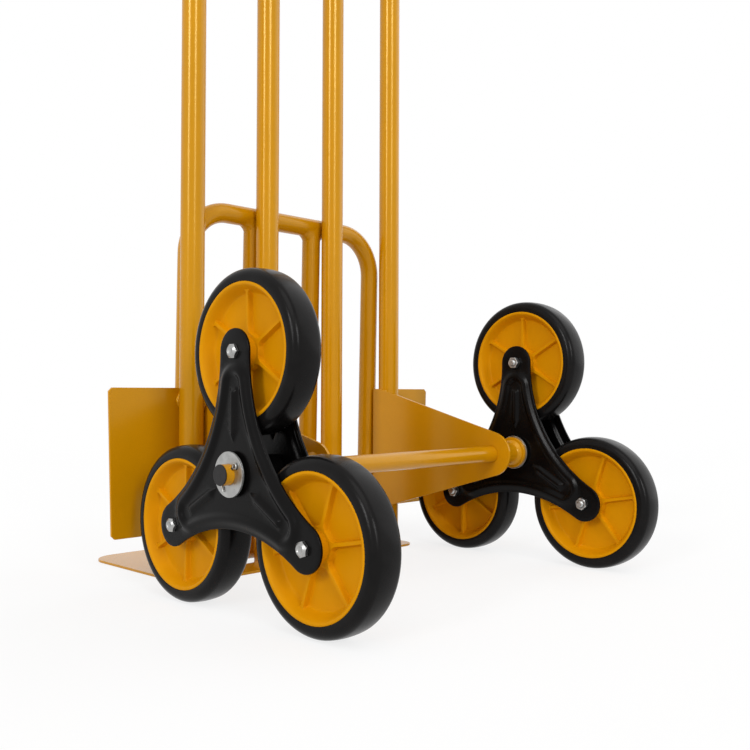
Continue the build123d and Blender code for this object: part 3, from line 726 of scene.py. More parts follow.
class StarForm:
    """The shape of a star plate, in its own plane with y across and z up, and its height above its back."""

    arms = (pi / 2, pi / 2 + tau / 3, pi / 2 - tau / 3)
    lobe_steps, hollow_steps, slope_steps, rib_steps = 26, 64, 6, 30
    # Where points lie across a rib, and its side and end slopes, as shares of its half width
    rib_shares = [step / 5 for step in range(-5, 6)]
    rib_flank, rib_ramp = 0.8, 0.7
    # Half width under which a rib has points on its middle only, and how far the ridge's points stay off
    thin_rib, rib_gap = 1.5 * MM, 0.6 * MM
    hole_step, least_hole_steps = 1.8 * MM, 24
    # Step of the grid on the flat parts, its rows' share of that, and its distance from other points
    grid_pitch, grid_row, grid_gap = 4.5 * MM, 0.87, 2.2 * MM
    # Faces with their middles inside this share of a hole's radius are left out
    hole_share = 0.98
    same_point = 0.01 * MM
    edge_degrees = (30, 60, 90)

    def __init__(self, sizes):
        self.sizes = sizes
        waist, lobe = sizes.star_waist, sizes.star_lobe
        half = star_reach / 2
        self.hollow_r = ((waist - half) ** 2 + 3 * half**2 - lobe**2) / (2 * (lobe - waist + half))
        self.hollow_place = waist + self.hollow_r
        self.hole_r = half_size("left_star_bush", "z")
        self.ridge_place = star_reach - sizes.ridge_end

    def lobe(self, inset, place):
        """The radius of the lobes of an outline moved in by inset, and the turn where they end."""
        gap_y = self.hollow_place * cos(pi / 3) - place
        gap_z = self.hollow_place * sin(pi / 3)
        return hypot(gap_y, gap_z) - self.hollow_r - inset, atan2(gap_z, gap_y)

    def outline(self, inset, place):
        """Points round the outline moved in by inset, with its lobes at place."""
        lobe_r, touch = self.lobe(inset, place)
        points = []
        for arm in self.arms:
            centre = polar(arm, place)
            for step in range(self.lobe_steps):
                turn = arm - touch + 2 * touch * step / self.lobe_steps
                points.append(centre + polar(turn, lobe_r))
            hollow = polar(arm + pi / 3, self.hollow_place)
            near = arm + touch + pi
            far = arm + tau / 3 - touch - pi
            turn_span = (far - near + pi) % tau - pi
            for step in range(self.hollow_steps):
                turn = near + turn_span * step / self.hollow_steps
                points.append(hollow + polar(turn, self.hollow_r + inset))
        return points

    def depth(self, point, place):
        """How far a point lies inside the outline with its lobes at place."""
        along, aside = self.on_arm(point)
        lobe_r, touch = self.lobe(0.0, place)
        if atan2(aside, along - place) < touch:
            return lobe_r - hypot(along - place, aside)
        hollow = polar(pi / 3, self.hollow_place)
        return hypot(along - hollow.x, aside - hollow.y) - self.hollow_r

    def on_arm(self, point):
        """How far a point lies along the nearest arm and aside from its middle."""
        turn = (atan2(point.y, point.x) - pi / 2 + pi / 3) % (tau / 3) - pi / 3
        return point.length * cos(turn), abs(point.length * sin(turn))

    def rib_width(self, along):
        """Half the width of an arm's rib at its foot."""
        sizes = self.sizes
        if not sizes.rib_start < along < sizes.rib_end:
            return 0.0
        return sizes.rib_half * min(1.0, (along - sizes.rib_start) / sizes.rib_point)

    def height(self, point):
        """The pressed face's height above the flat back."""
        sizes = self.sizes
        inset = self.depth(point, self.ridge_place) - sizes.ridge_ledge
        inner_foot = inset - sizes.ridge_slope - sizes.ridge_top
        ridge = sizes.ridge_rise * (ease(inset / sizes.ridge_slope) - ease(inner_foot / sizes.ridge_inner))
        along, aside = self.on_arm(point)
        flank = (self.rib_width(along) - aside) / (self.rib_flank * sizes.rib_half)
        end = (sizes.rib_end - along) / (self.rib_ramp * sizes.rib_half)
        rib = sizes.ridge_rise * ease(min(flank, end))
        return sizes.star_sheet + max(ridge, rib)

    def rib_points(self):
        """Points on the ribs, on their middles and at shares of their width."""
        start, stop = self.sizes.rib_start, self.sizes.rib_end
        points = []
        for arm in self.arms:
            across_arm = Vector((-sin(arm), cos(arm)))
            for number in range(self.rib_steps + 1):
                along = start + (stop - start) * number / self.rib_steps
                half_width = self.rib_width(along)
                shares = self.rib_shares if half_width > self.thin_rib else [0]
                points.extend(polar(arm, along) + across_arm * half_width * share for share in shares)
        return points

    def ridge_points(self):
        """Points on the ridge's slopes, clear of the ribs."""
        sizes = self.sizes
        inner = sizes.ridge_ledge + sizes.ridge_slope + sizes.ridge_top
        steps = range(self.slope_steps + 1)
        insets = [sizes.ridge_ledge + sizes.ridge_slope * step / self.slope_steps for step in steps[1:]]
        insets += [inner + sizes.ridge_inner * step / self.slope_steps for step in steps]
        points = []
        for point in (point for inset in insets for point in self.outline(inset, self.ridge_place)):
            along, aside = self.on_arm(point)
            if aside > self.rib_width(along) + self.rib_gap:
                points.append(point)
        return points

    def grid_points(self, holes, others):
        """Points of an even grid on the plate, clear of the holes and of other points."""
        taken = kdtree.KDTree(len(others))
        for number, point in enumerate(others):
            taken.insert(point.to_3d(), number)
        taken.balance()
        pitch = self.grid_pitch
        reach_steps = int((star_reach + self.sizes.star_lobe) / pitch) + 1
        points = []
        for row in range(-reach_steps, reach_steps + 1):
            for column in range(-reach_steps, reach_steps + 1):
                point = Vector(((column + 0.5 * (row % 2)) * pitch, row * pitch * self.grid_row))
                on_plate = self.depth(point, star_reach) > self.sizes.star_edge
                in_hole = any((point - centre).length <= radius for centre, radius in holes)
                if on_plate and not in_hole and taken.find(point.to_3d())[2] > self.grid_gap:
                    points.append(point)
        return points

    def face_points(self):
        """The pressed face's border loop, its holes with their loops, and the points inside."""
        border = self.outline(self.sizes.star_edge, star_reach)
        holes = [(Vector((0, 0)), self.hole_r)]
        holes += [(polar(arm, star_reach), self.sizes.bolt_thread / 2) for arm in self.arms]
        hole_loops = []
        for centre, radius in holes:
            count = max(self.least_hole_steps, int(tau * radius / self.hole_step))
            hole_loops.append([centre + polar(tau * step / count, radius) for step in range(count)])
        inside = self.rib_points() + self.ridge_points()
        inside += self.grid_points(holes, border + inside + sum(hole_loops, []))
        return border, holes, hole_loops, inside

    def plate(self, outward):
        """The whole plate as a closed shell, with its flat back at x = 0 and its face outward."""
        sheet = self.sizes.star_sheet
        border, holes, hole_loops, inside = self.face_points()
        edges, first = [], 0
        for loop in [border] + hole_loops:
            edges.extend((first + step, first + (step + 1) % len(loop)) for step in range(len(loop)))
            first += len(loop)
        points = border + sum(hole_loops, []) + inside
        flat, _, triangles, origins, _, _ = geometry.delaunay_2d_cdt(points, edges, [], 1, self.same_point)
        number_of = {source: number for number, sources in enumerate(origins) for source in sources}
        heights = [self.height(point) for point in flat]
        shell = Shell()
        face = shell.loop([self.lift(*pair, outward) for pair in zip(flat, heights)])
        back = shell.loop([self.lift(point, height - sheet, outward) for point, height in zip(flat, heights)])
        for triangle in triangles:
            centre = sum((flat[number] for number in triangle), Vector((0, 0))) / 3
            if all((centre - spot).length >= radius * self.hole_share for spot, radius in holes):
                shell.faces.append(tuple(face[number] for number in triangle))
                shell.faces.append(tuple(back[number] for number in reversed(triangle)))
        first = len(border)
        for loop in hole_loops:
            numbers = [number_of[first + step] for step in range(len(loop))]
            shell.bridge([face[number] for number in numbers], [back[number] for number in numbers])
            first += len(loop)
        self.close_edge(shell, [number_of[step] for step in range(len(border))], face, back, outward)
        if outward < 0:
            shell.faces = [corners[::-1] for corners in shell.faces]
        return shell

    def close_edge(self, shell, border, face, back, outward):
        """Run the face's border round the plate's outer edge to its back."""
        edge = self.sizes.star_edge
        levels = []
        for turn in map(radians, self.edge_degrees):
            levels.append((edge - edge * sin(turn), self.sizes.star_sheet - edge + edge * cos(turn)))
        levels.append((0.0, 0.0))
        loops = [[face[number] for number in border]]
        for inset, height in levels:
            points = self.outline(inset, star_reach)
            loops.append(shell.loop([self.lift(point, height, outward) for point in points]))
        loops.append([back[number] for number in border])
        for lower, upper in zip(loops, loops[1:]):
            shell.bridge(upper, lower)

    def lift(self, point, height, outward):
        """A point of the plate's plane raised to a height."""
        return Vector((outward * height, point.x, point.y))


class TRUCK_OT_build_wheel_hubs(Operator):
    """Mould the six wheel hubs: a lip, a web and ribs with flared ends on both sides"""

    bl_idname = "truck.build_wheel_hubs"
    bl_label = "Build the wheel hubs"

    def execute(self, context):
        form = HubForm(context.scene.truck_sizes)
        shell = form.hub()
        for side, place in WHEELS:
            node = f"{side}_{place}_wheel_hub"
            spot = Matrix.Translation(middle(node)) @ Matrix.Rotation(form.turn_of(node), 4, "X")
            piece = shell.piece(f"{node}_moulding", f"{side}_{place}_wheel", "hub_plastic", spot,
                                square_edge=radians(50))
            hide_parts(node)
        return {"FINISHED"}


class HubForm:
    """The shape of a wheel hub about the X axis, alike on both sides."""

    # Where points lie across half a rib's top, and steps over its flank and the field beside it
    across_shares = (0, 0.35, 0.7, 0.9, 1.0)
    flank_steps, field_steps = 5, 5
    boss_rings, web_rings, wall_rings = 4, 12, 16
    # Roundings of the lip, the neck and the bore, and how far the neck's foot stays above the ribs
    edge, bore_edge, neck_foot = 0.8 * MM, 0.5 * MM, 0.3 * MM
    # How far the middle of a rounding is cut in, as a share of it
    edge_cut = 0.3
    # Widest rib top as a share of the turn from rib to rib, and widest flank as a share of the rest
    widest_top, widest_flank = 0.44, 0.9
    # Where the frame's rib tops are looked for: shares of the rim's radius, and depth
    rib_band = (0.35, 0.8)
    rib_top_depth = 0.1 * MM

    def __init__(self, sizes):
        self.sizes = sizes
        self.rim_r = half_size("left_top_wheel_hub", "z")
        self.neck_x = half_size("left_top_wheel_hub", "x")
        self.lip_x = half_size("left_top_tyre", "x")
        self.bore_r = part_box("left_wheel_sleeves")[1].z - middle("left_top_tyre").z + PLAY
        self.neck_r, self.boss_r = sizes.hub_neck / 2, sizes.hub_boss / 2
        self.lip_r = self.rim_r - sizes.hub_lip
        self.wall_r = self.lip_r - sizes.hub_wall
        self.web_x = sizes.hub_web / 2
        self.rib_x = self.lip_x - sizes.hub_rib_drop
        rib_share = (self.rib_x - self.web_x) / (self.lip_x - self.web_x)
        self.rib_end_r = self.wall_r + sizes.hub_wall * ease_back(rib_share)
        self.sector = tau / sizes.hub_ribs

    def turn_of(self, node):
        """The turn of a hub's ribs, found from the rib tops of its frame node."""
        spot = middle(node)
        ribs = self.sizes.hub_ribs
        inner_r, outer_r = (share * self.rim_r for share in self.rib_band)
        points = [vertex.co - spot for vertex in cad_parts[node].data.vertices]
        points = [point for point in points if inner_r < hypot(point.y, point.z) < outer_r]
        top_x = max(abs(point.x) for point in points) - self.rib_top_depth
        turns = [ribs * atan2(point.z, point.y) for point in points if abs(point.x) > top_x]
        return atan2(sum(map(sin, turns)), sum(map(cos, turns))) / ribs

    def rib_turn(self, radius):
        """Half the turn that a rib's top spans at a radius, with its flared ends."""
        half, root, tip = self.sizes.hub_rib / 2, self.sizes.hub_root, self.sizes.hub_tip
        turn = asin(min(1.0, half / radius))
        for centre_r, round_r, way in ((self.boss_r + root, root, 1), (self.rib_end_r - tip, tip, -1)):
            straight_r = sqrt(centre_r**2 - (half + round_r) ** 2 + half**2)
            if way * radius < way * straight_r:
                share = (radius**2 + centre_r**2 - round_r**2) / (2 * radius * centre_r)
                turn = max(turn, asin((half + round_r) / centre_r) - acos(min(share, 1.0)))
        return min(turn, self.sector / 2)

    def turns(self, radius):
        """Turns of the points of one ring, close together at the ribs' flanks."""
        half_sector = self.sector / 2
        top = min(self.rib_turn(radius), self.widest_top * self.sector)
        flank = min(self.sizes.hub_flank / radius, self.widest_flank * (half_sector - top))
        field = half_sector - top - flank
        half = [top * share for share in self.across_shares]
        half += [top + flank * step / self.flank_steps for step in range(1, self.flank_steps + 1)]
        half += [top + flank + field * step / self.field_steps for step in range(1, self.field_steps)]
        whole = [-turn for turn in half[:0:-1]] + half + [half_sector]
        return [number * self.sector + turn for number in range(self.sizes.hub_ribs) for turn in whole]

    def height(self, radius, turn):
        """The moulded face's distance from the wheel's middle plane."""
        sizes = self.sizes
        turn = abs((turn + self.sector / 2) % self.sector - self.sector / 2)
        top = self.rib_turn(radius)
        rib = ease(1 - (turn - top) * radius / sizes.hub_flank) if turn > top else 1.0
        boss = ease(1 - (radius - self.boss_r) / sizes.hub_flank)
        field = self.web_x + (self.lip_x - self.web_x) * ease((radius - self.wall_r) / sizes.hub_wall)
        raised = self.web_x + (self.rib_x - self.web_x) * max(rib, boss)
        return max(field, raised)

    def radii(self):
        """Radii of the rings on the moulded face, from the boss's neck to the lip."""
        found = [self.neck_r + self.edge, self.boss_r]
        web_start = self.boss_r + self.sizes.hub_flank
        for stop, count in ((web_start, self.boss_rings), (self.wall_r, self.web_rings),
                            (self.lip_r, self.wall_rings)):
            start = found[-1]
            found += [start + (stop - start) * step / count for step in range(1, count + 1)]
        return found

    def hub(self):
        """The whole hub as one closed shell."""
        edge, cut = self.edge, self.edge_cut * self.edge
        neck = [(self.bore_r, self.neck_x - self.bore_edge), (self.bore_r + self.bore_edge, self.neck_x),
                (self.neck_r - edge, self.neck_x), (self.neck_r - cut, self.neck_x - cut),
                (self.neck_r, self.neck_x - edge), (self.neck_r, self.rib_x + self.neck_foot)]
        lip = [(self.rim_r - edge, self.lip_x), (self.rim_r - cut, self.lip_x - cut),
               (self.rim_r, self.lip_x - edge)]
        face = [[about_x(x, radius, turn) for turn in self.turns(radius)] for radius, x in neck]
        for radius in self.radii():
            face.append([about_x(self.height(radius, turn), radius, turn) for turn in self.turns(radius)])
        face += [[about_x(x, radius, turn) for turn in self.turns(radius)] for radius, x in lip]
        shell = Shell()
        loops = [shell.loop(points) for points in face]
        far = [shell.loop([Vector((-point.x, point.y, point.z)) for point in points]) for points in face]
        shell.bridge_all(loops + far[::-1] + loops[:1])
        return shell


class TRUCK_OT_build_tyres(Operator):
    """Mould the six tyres with round shoulders"""

    bl_idname = "truck.build_tyres"
    bl_label = "Build the tyres"

    edge_steps, shoulder_steps, crown_steps = 4, 14, 6

    def execute(self, context):
        sizes = context.scene.truck_sizes
        shell = turned(self.profile(sizes), sizes.tyre_steps)
        for side, place in WHEELS:
            node = f"{side}_{place}_tyre"
            piece = shell.piece(f"{node}_rubber", f"{side}_{place}_wheel", "tyre_rubber",
                                Matrix.Translation(middle(node)))
            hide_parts(node)
        return {"FINISHED"}

    def profile(self, sizes):
        """The tyre's section, from the rim's seat over the crowned tread and back."""
        outer_r = half_size("left_top_tyre", "z")
        half = half_size("left_top_tyre", "x")
        seat_r = half_size("left_top_wheel_hub", "z")
        edge, shoulder, crown = sizes.tyre_edge, sizes.tyre_shoulder, sizes.tyre_crown
        tilt = asin((half - shoulder) / (crown - shoulder))
        tread_start = 360 - degrees(tilt)
        shoulder_r = outer_r - crown + (crown - shoulder) * cos(tilt)
        one_side = [(seat_r, -half + 2 * edge)]
        one_side += arc((seat_r + edge, -half + edge), edge, 180, 270, self.edge_steps)
        one_side += arc((shoulder_r, -half + shoulder), shoulder, 270, tread_start, self.shoulder_steps)
        one_side += arc((outer_r - crown, 0), crown, tread_start, 360, self.crown_steps)[1:]
        return one_side + [(radius, -x) for radius, x in reversed(one_side[:-1])]


class TRUCK_OT_build_wheel_bolts(Operator):
    """Make the wheel bolts with their hexagon heads and threads, the nuts and the sleeves"""

    bl_idname = "truck.build_wheel_bolts"
    bl_label = "Build the wheel bolts"

    steps = 72
    steps_per_pitch = 8
    turns = (radians(0), radians(2), radians(20))
    # The tip's share of the bolt's radius, and where the thread and the plain shank lie from it
    tip_share = 0.72
    thread_start, thread_stop, shank_start = 0.6 * MM, 9 * MM, 10 * MM
    # Radii as shares of the width across flats: the head's seat and crown, a nut's faces and the dish
    seat_share, crown_share, nut_share, dish_share = 0.47, 0.36, 0.485, 0.25
    seat_height = 0.4 * MM
    # A hexagon's chamfer, and where it starts on nuts and on heads, as shares of the inner radius
    chamfer = radians(38)
    hex_flat, head_flat = 0.97, 0.72
    # Rings of the dish in a head: share of its radius, and depth
    dish_rings = ((1.0, 0.0), (0.8, 0.5 * MM), (0.4, 0.9 * MM))
    bore_edge = 0.7 * MM

    def execute(self, context):
        sizes = context.scene.truck_sizes
        for side, sign in SIDES:
            for kind, loops in (("bolt", self.bolt(sizes, side)), ("nut", self.nut(sizes, side))):
                shell = self.three(side, sign, loops)
                piece = shell.piece(f"{side}_wheel_{kind}_set", f"{side}_star", "zinc",
                                    square_edge=radians(30))
                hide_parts(f"{side}_wheel_{kind}s")
            dress("zinc", f"{side}_wheel_sleeves")
        return {"FINISHED"}

    def three(self, side, sign, loops):
        """One fastener at each wheel; loops are lists of points about the wheel's middle."""
        shell = Shell()
        for place, angle_turned in zip(WHEEL_PLACES, self.turns):
            spot = middle(f"{side}_{place}_tyre")
            turn = Matrix.Rotation(angle_turned, 3, "X")
            made = []
            for loop in loops:
                moved = [turn @ point for point in loop]
                made.append(shell.loop([spot + Vector((sign * point.x, sign * point.y, point.z))
                                        for point in moved]))
            shell.bridge_all(made)
            shell.cap(made[0], flip=True)
            shell.cap(made[-1])
        return shell

    def ends(self, node, side):
        """How far a node's far and near ends are from the wheel's middle, along the axle."""
        wheel_x = middle(f"{side}_top_tyre").x
        near, far = sorted(abs(corner.x - wheel_x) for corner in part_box(node))
        return far, near

    def rings(self, *places):
        """Circles about the X axis at (radius, x) places."""
        return [ring(radius, x, self.steps) for radius, x in places]

    def hex_loop(self, across, x, cut, flat=hex_flat):
        """A hexagon's outline at x, cut back outside its flat middle by a cone where cut is -1 or 1."""
        points = []
        for step in range(self.steps):
            turn = tau * step / self.steps
            radius = across / 2 / cos((turn % (pi / 3)) - pi / 6)
            back = max(0.0, radius - across / 2 * flat) * tan(self.chamfer)
            points.append(about_x(x - cut * back, radius, turn))
        return points

    def thread(self, sizes, start, stop):
        """Loops of a screw thread along the X axis from start to stop."""
        loops = []
        count = int(abs(stop - start) / (sizes.thread_pitch / self.steps_per_pitch))
        for number in range(count + 1):
            x = start + (stop - start) * number / count
            points = []
            for step in range(self.steps):
                phase = (x / sizes.thread_pitch + step / self.steps) % 1
                radius = sizes.bolt_thread / 2 - sizes.thread_depth * abs(2 * phase - 1)
                points.append(about_x(x, radius, tau * step / self.steps))
            loops.append(points)
        return loops

    def bolt(self, sizes, side):
        """Loops of a bolt from its threaded end to its head, with x outward from the wheel's middle."""
        tip, top = self.ends(f"{side}_wheel_bolts", side)
        face = self.ends(f"{side}_star_outer_plate", side)[0] - sizes.ridge_rise
        head = face + self.seat_height
        across, shank = sizes.bolt_across, sizes.bolt_thread / 2
        seat_r, dish_r = across * self.seat_share, across * self.dish_share
        loops = self.rings((shank * self.tip_share, -tip))
        loops += self.thread(sizes, -tip + self.thread_start, -tip + self.thread_stop)
        loops += self.rings((shank, -tip + self.shank_start), (shank, face), (seat_r, face), (seat_r, head))
        loops += [self.hex_loop(across, head, 0), self.hex_loop(across, top, 1, self.head_flat)]
        loops += self.rings((across * self.crown_share, top))
        return loops + self.rings(*((dish_r * share, top - depth) for share, depth in self.dish_rings))

    def nut(self, sizes, side):
        """Loops of a nut, from its bore's inner end round its outside to its bore's inner end again."""
        far, near = self.ends(f"{side}_wheel_nuts", side)
        across, edge = sizes.bolt_across, self.bore_edge
        bore = sizes.bolt_thread / 2 + PLAY
        face_r = across * self.nut_share
        loops = self.rings((bore, -near), (bore, -far + edge), (bore + edge, -far), (face_r, -far))
        loops += [self.hex_loop(across, -far, -1), self.hex_loop(across, -near, 1)]
        return loops + self.rings((face_r, -near), (bore, -near))


class TRUCK_OT_fit_axle(Operator):
    """Finish the washers, the split pins and the caps at the axle's ends"""

    bl_idname = "truck.fit_axle"
    bl_label = "Finish the axle ends"

    washer_edge = 0.25 * MM

    def execute(self, context):
        washers = ["inner_hub_washers", "outer_hub_washers"]
        dress("zinc", *washers, "split_pins")
        round_edges(self.washer_edge, *washers)
        dress("cap_plastic", "axle_caps")
        round_edges(CAP_EDGE, "axle_caps")
        return {"FINISHED"}


class TRUCK_OT_build_toe_loop(Operator):
    """Paint and weld the folding toe loop and finish its hinge"""

    bl_idname = "truck.build_toe_loop"
    bl_label = "Finish the toe loop"

    # Leg at the bars' tops as a share of an ordinary weld's
    top_share = 1.8

    def execute(self, context):
        dress("frame_paint", "loop_tube", "loop_bars", "hinge_tube")
        dress("nylon", "hinge_bushes")
        dress("zinc", "hinge_rod")
        dress("cap_plastic", "rod_caps")
        round_edges(CAP_EDGE, "rod_caps")
        welds = Welds(context.scene.truck_sizes)
        leg = welds.sizes.weld_leg
        low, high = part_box("loop_tube")
        bars_low, bars_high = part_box("loop_bars")
        top = Vector((0, low.y + loop_r, high.z - loop_r))
        rise = (top - hinge_spot).normalized()
        for bar_x in (bars_low.x + loop_r, bars_high.x - loop_r):
            aside = RIGHT * bar_x
            welds.branch(top + aside, -rise, RIGHT, loop_r, loop_r, self.top_share * leg, swell=-0.45)
            welds.branch(hinge_spot + aside, rise, RIGHT, loop_r, loop_r, leg, swell=-0.2)
        welds.piece("loop_weld_beads", "toe_loop")
        return {"FINISHED"}


class TRUCK_OT_build_grips(Operator):
    """Mould the hand grips with soft grooves, a round end and a guard"""

    bl_idname = "truck.build_grips"
    bl_label = "Build the hand grips"

    steps = 64
    steps_per_groove = 10
    # The guard's rounding as a share of its thickness, and the hollow behind it
    guard_edge = 0.45
    neck_r = 2.5 * MM
    # The grooves' distance from the guard and from the round end, and how their sides steepen
    groove_start, groove_stop = 4 * MM, 1.5 * MM
    groove_gain, groove_offset = 1.6, 0.3
    end_wall = 5 * MM
    end_middle_r = 0.02 * MM

    def execute(self, context):
        sizes = context.scene.truck_sizes
        outward = Vector((0, -sin(sizes.handle_turn), cos(sizes.handle_turn)))
        aside = outward.cross(RIGHT)
        turn = Matrix((outward, RIGHT, -aside)).transposed().to_4x4()
        for side, _ in SIDES:
            node = f"{side}_grip"
            start, stop = reach(node, outward)
            shell = turned(self.profile(sizes, half_size(node, "x"), stop - start), self.steps)
            spot = self.axis_spot(node, aside) + outward * start
            piece = shell.piece(f"{node}_moulding", "frame", "grip_rubber", Matrix.Translation(spot) @ turn,
                                square_edge=radians(50))
            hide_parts(node)
        return {"FINISHED"}

    def axis_spot(self, node, aside):
        """The point where a grip's axis passes the plane through the origin."""
        low, high = reach(node, aside)
        return Vector((middle(node).x, 0, 0)) + aside * (low + high) / 2

    def profile(self, sizes, guard_r, length):
        """A grip's section from its bore over the guard, the grooves and the round end."""
        bore = upright_r + PLAY
        wall, guard, neck = sizes.grip_wall, sizes.grip_guard, self.neck_r
        body = upright_r + wall
        edge = self.guard_edge * guard
        points = [(bore, 0.0)]
        points += arc((guard_r - edge, edge), edge, -90, 0, 5)
        points += arc((guard_r - edge, guard - edge), edge, 0, 80, 5)
        points += arc((body + neck, guard + neck), neck, 250, 180, 4)
        start, stop = guard + self.groove_start, length - wall - self.groove_stop
        count = self.steps_per_groove * sizes.grip_grooves
        for step in range(1, count):
            share = step / count
            wave = 0.5 - 0.5 * cos(tau * share * sizes.grip_grooves)
            depth = sizes.grip_groove * ease(wave * self.groove_gain - self.groove_offset)
            points.append((body - depth, start + (stop - start) * share))
        points += arc((body - wall, length - wall), wall, 0, 90, 6)
        inner_end = length - self.end_wall
        return points + [(self.end_middle_r, length), (self.end_middle_r, inner_end), (bore, inner_end)]


class TRUCK_OT_build_stage(Operator):
    """Set up the camera, the soft lamps, the even surround and the pale floor"""

    bl_idname = "truck.build_stage"
    bl_label = "Build the stage"

    # Shares of a strip's light in its upper and its lower lamp
    upper_share, lower_share = 0.75, 0.25
    bounce_grey = (0.75, 0.75, 0.75, 1)
    floor_half = 30.0
    floor_gap = 0.2 * MM

    def execute(self, context):
        stage = context.scene.truck_stage
        context.scene.view_settings.view_transform = "Standard"
        self.aim_camera(context, stage)
        self.light_surround(context, stage)
        self.hang_lamps(context, stage)
        self.lay_floor(context, stage)
        return {"FINISHED"}

    def place(self, context, name, data):
        """Put a new object of that name into the scene."""
        made = bpy.data.objects.new(name, data)
        context.scene.collection.objects.link(made)
        return made

    def aim_camera(self, context, stage):
        """A camera at the place and turn from which the truck is looked at."""
        data = bpy.data.cameras.new("truck_camera")
        data.lens = stage.lens
        data.sensor_width = 36
        camera = self.place(context, "truck_camera", data)
        yaw, tilt, roll = stage.camera_yaw, stage.camera_tilt, stage.camera_roll
        ahead = Vector((sin(yaw) * cos(tilt), cos(yaw) * cos(tilt), sin(tilt)))
        level = Vector((cos(yaw), -sin(yaw), 0))
        upward = level.cross(ahead)
        right = level * cos(roll) + upward * sin(roll)
        upward = upward * cos(roll) - level * sin(roll)
        turn = Matrix((right, upward, -ahead)).transposed().to_4x4()
        spot = Vector((stage.camera_x, stage.camera_y, stage.camera_z))
        camera.matrix_world = Matrix.Translation(spot) @ turn
        context.scene.camera = camera

    def show(self, tree, output, seen, lighting):
        """Show one shader to rays from the camera, from gloss and through glass, and light with another."""
        path = tree.nodes.new("ShaderNodeLightPath")
        factor = path.outputs["Is Camera Ray"]
        for name in ("Is Glossy Ray", "Is Transmission Ray"):
            inputs = {0: factor, 1: path.outputs[name]}
            factor = add_node(tree, "ShaderNodeMath", inputs, operation="MAXIMUM").outputs[0]
        inputs = {0: factor, 1: lighting.outputs[0], 2: seen.outputs[0]}
        mixed = add_node(tree, "ShaderNodeMixShader", inputs)
        tree.links.new(mixed.outputs[0], tree.nodes[output].inputs["Surface"])

    def light_surround(self, context, stage):
        """An even white surround that is seen white and lights the truck softly."""
        world = bpy.data.worlds.new("truck_surround")
        context.scene.world = world
        world.use_nodes = True
        tree = world.node_tree
        lit = tree.nodes["Background"]
        lit.inputs["Color"].default_value = WHITE
        lit.inputs["Strength"].default_value = stage.surround
        seen = add_node(tree, "ShaderNodeBackground", {"Color": WHITE})
        self.show(tree, "World Output", seen, lit)

    def lamps(self, stage):
        """Name, level, azimuth, elevation and width in degrees of each soft lamp."""
        found = [("top_lamp", stage.top_level, -47, 56, 40), ("side_lamp", stage.side_level, 72, 30, 70)]
        for side, level, azimuth in (("left", stage.left_level, -78), ("right", stage.right_level, -17)):
            found.append((f"{side}_upper_lamp", self.upper_share * level, azimuth, 24, 12))
            found.append((f"{side}_lower_lamp", self.lower_share * level, azimuth, 14, 9))
        return found

    def hang_lamps(self, context, stage):
        """Soft lamps: a strip on each side of the camera, one high above it and one far on the right."""
        for name, level, azimuth, elevation, width in self.lamps(stage):
            data = bpy.data.lights.new(name, "SUN")
            data.energy = level * pi
            data.angle = radians(width)
            lamp = self.place(context, name, data)
            turn, lift = radians(azimuth), radians(elevation)
            away = Vector((sin(turn) * cos(lift), -cos(turn) * cos(lift), sin(lift)))
            lamp.location = cad_box[1] + away
            lamp.rotation_mode = "QUATERNION"
            lamp.rotation_quaternion = away.to_track_quat("Z", "Y")

    def floor_finish(self, stage):
        """A pale finish that is seen white and keeps the truck's shadow."""
        light = stage.surround + sum(level * sin(radians(elevation))
                                     for _, level, _, elevation, _ in self.lamps(stage))
        grey = stage.floor_shade / light
        material = bpy.data.materials.new("pale_floor")
        material.use_nodes = True
        tree = material.node_tree
        tree.nodes.remove(tree.nodes["Principled BSDF"])
        matt = add_node(tree, "ShaderNodeBsdfDiffuse", {"Color": (grey, grey, grey, 1)})
        glow = add_node(tree, "ShaderNodeEmission", {"Color": WHITE, "Strength": 1 - stage.floor_shade})
        both = add_node(tree, "ShaderNodeAddShader", {0: matt.outputs[0], 1: glow.outputs[0]})
        bounce = add_node(tree, "ShaderNodeBsdfDiffuse", {"Color": self.bounce_grey})
        self.show(tree, "Material Output", both, bounce)
        return material

    def lay_floor(self, context, stage):
        """A wide flat floor just under the truck."""
        half, drop = self.floor_half, cad_box[0].z - self.floor_gap
        data = bpy.data.meshes.new("pale_floor")
        corners = [(-half, -half, drop), (half, -half, drop), (half, half, drop), (-half, half, drop)]
        data.from_pydata(corners, [], [(0, 1, 2, 3)])
        data.materials.append(self.floor_finish(stage))
        self.place(context, "pale_floor", data)


STEPS = (
    TRUCK_OT_paint_frame,
    TRUCK_OT_weld_frame,
    TRUCK_OT_build_star_plates,
    TRUCK_OT_build_wheel_hubs,
    TRUCK_OT_build_tyres,
    TRUCK_OT_build_wheel_bolts,
    TRUCK_OT_fit_axle,
    TRUCK_OT_build_toe_loop,
    TRUCK_OT_build_grips,
    TRUCK_OT_build_stage,
)


class TRUCK_PT_hand_truck(Panel):
    """Lists the steps that dress the hand truck."""

    bl_label = "Hand truck"
    bl_idname = "TRUCK_PT_hand_truck"
    bl_space_type = "VIEW_3D"
    bl_region_type = "UI"
    bl_category = "Hand truck"

    def draw(self, context):
        for step in STEPS:
            self.layout.operator(step.bl_idname)
        for group in (context.scene.truck_finishes, context.scene.truck_sizes, context.scene.truck_stage):
            box = self.layout.box()
            for name in group.__annotations__:
                box.prop(group, name)


GROUPS = {"truck_finishes": TruckFinishes, "truck_sizes": TruckSizes, "truck_stage": TruckStage}


def register():
    for group in GROUPS.values():
        bpy.utils.register_class(group)
    for name, group in GROUPS.items():
        setattr(bpy.types.Scene, name, PointerProperty(type=group))
    for step in STEPS + (TRUCK_PT_hand_truck,):
        bpy.utils.register_class(step)


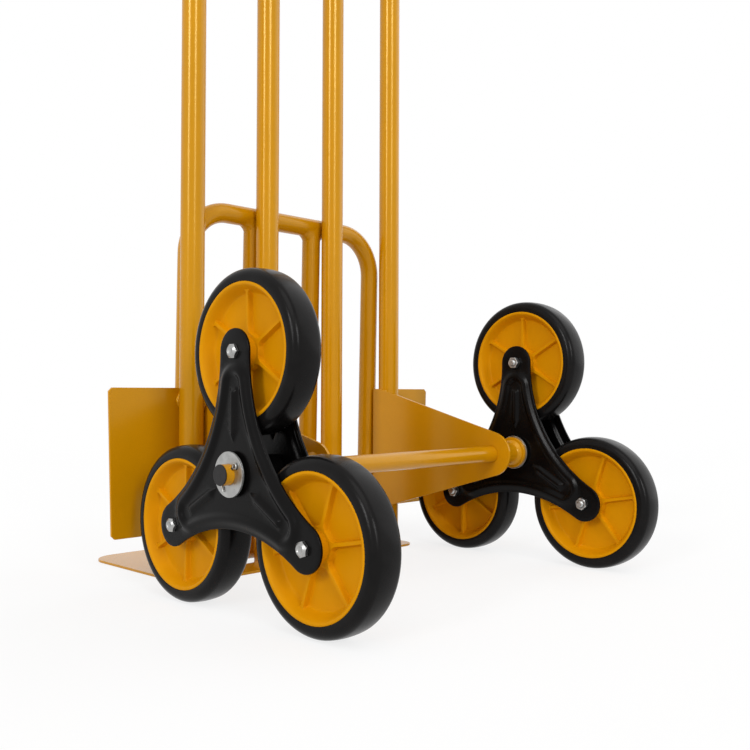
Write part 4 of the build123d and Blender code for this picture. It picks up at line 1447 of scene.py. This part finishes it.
def unregister():
    for step in (TRUCK_PT_hand_truck,) + STEPS[::-1]:
        bpy.utils.unregister_class(step)
    for name in GROUPS:
        delattr(bpy.types.Scene, name)
    for group in GROUPS.values():
        bpy.utils.unregister_class(group)


def main():
    """Register the add-on and run its steps in order."""
    register()
    for step in STEPS:
        group, name = step.bl_idname.split(".")
        getattr(getattr(bpy.ops, group), name)()


if __name__ == "__main__":
    main()
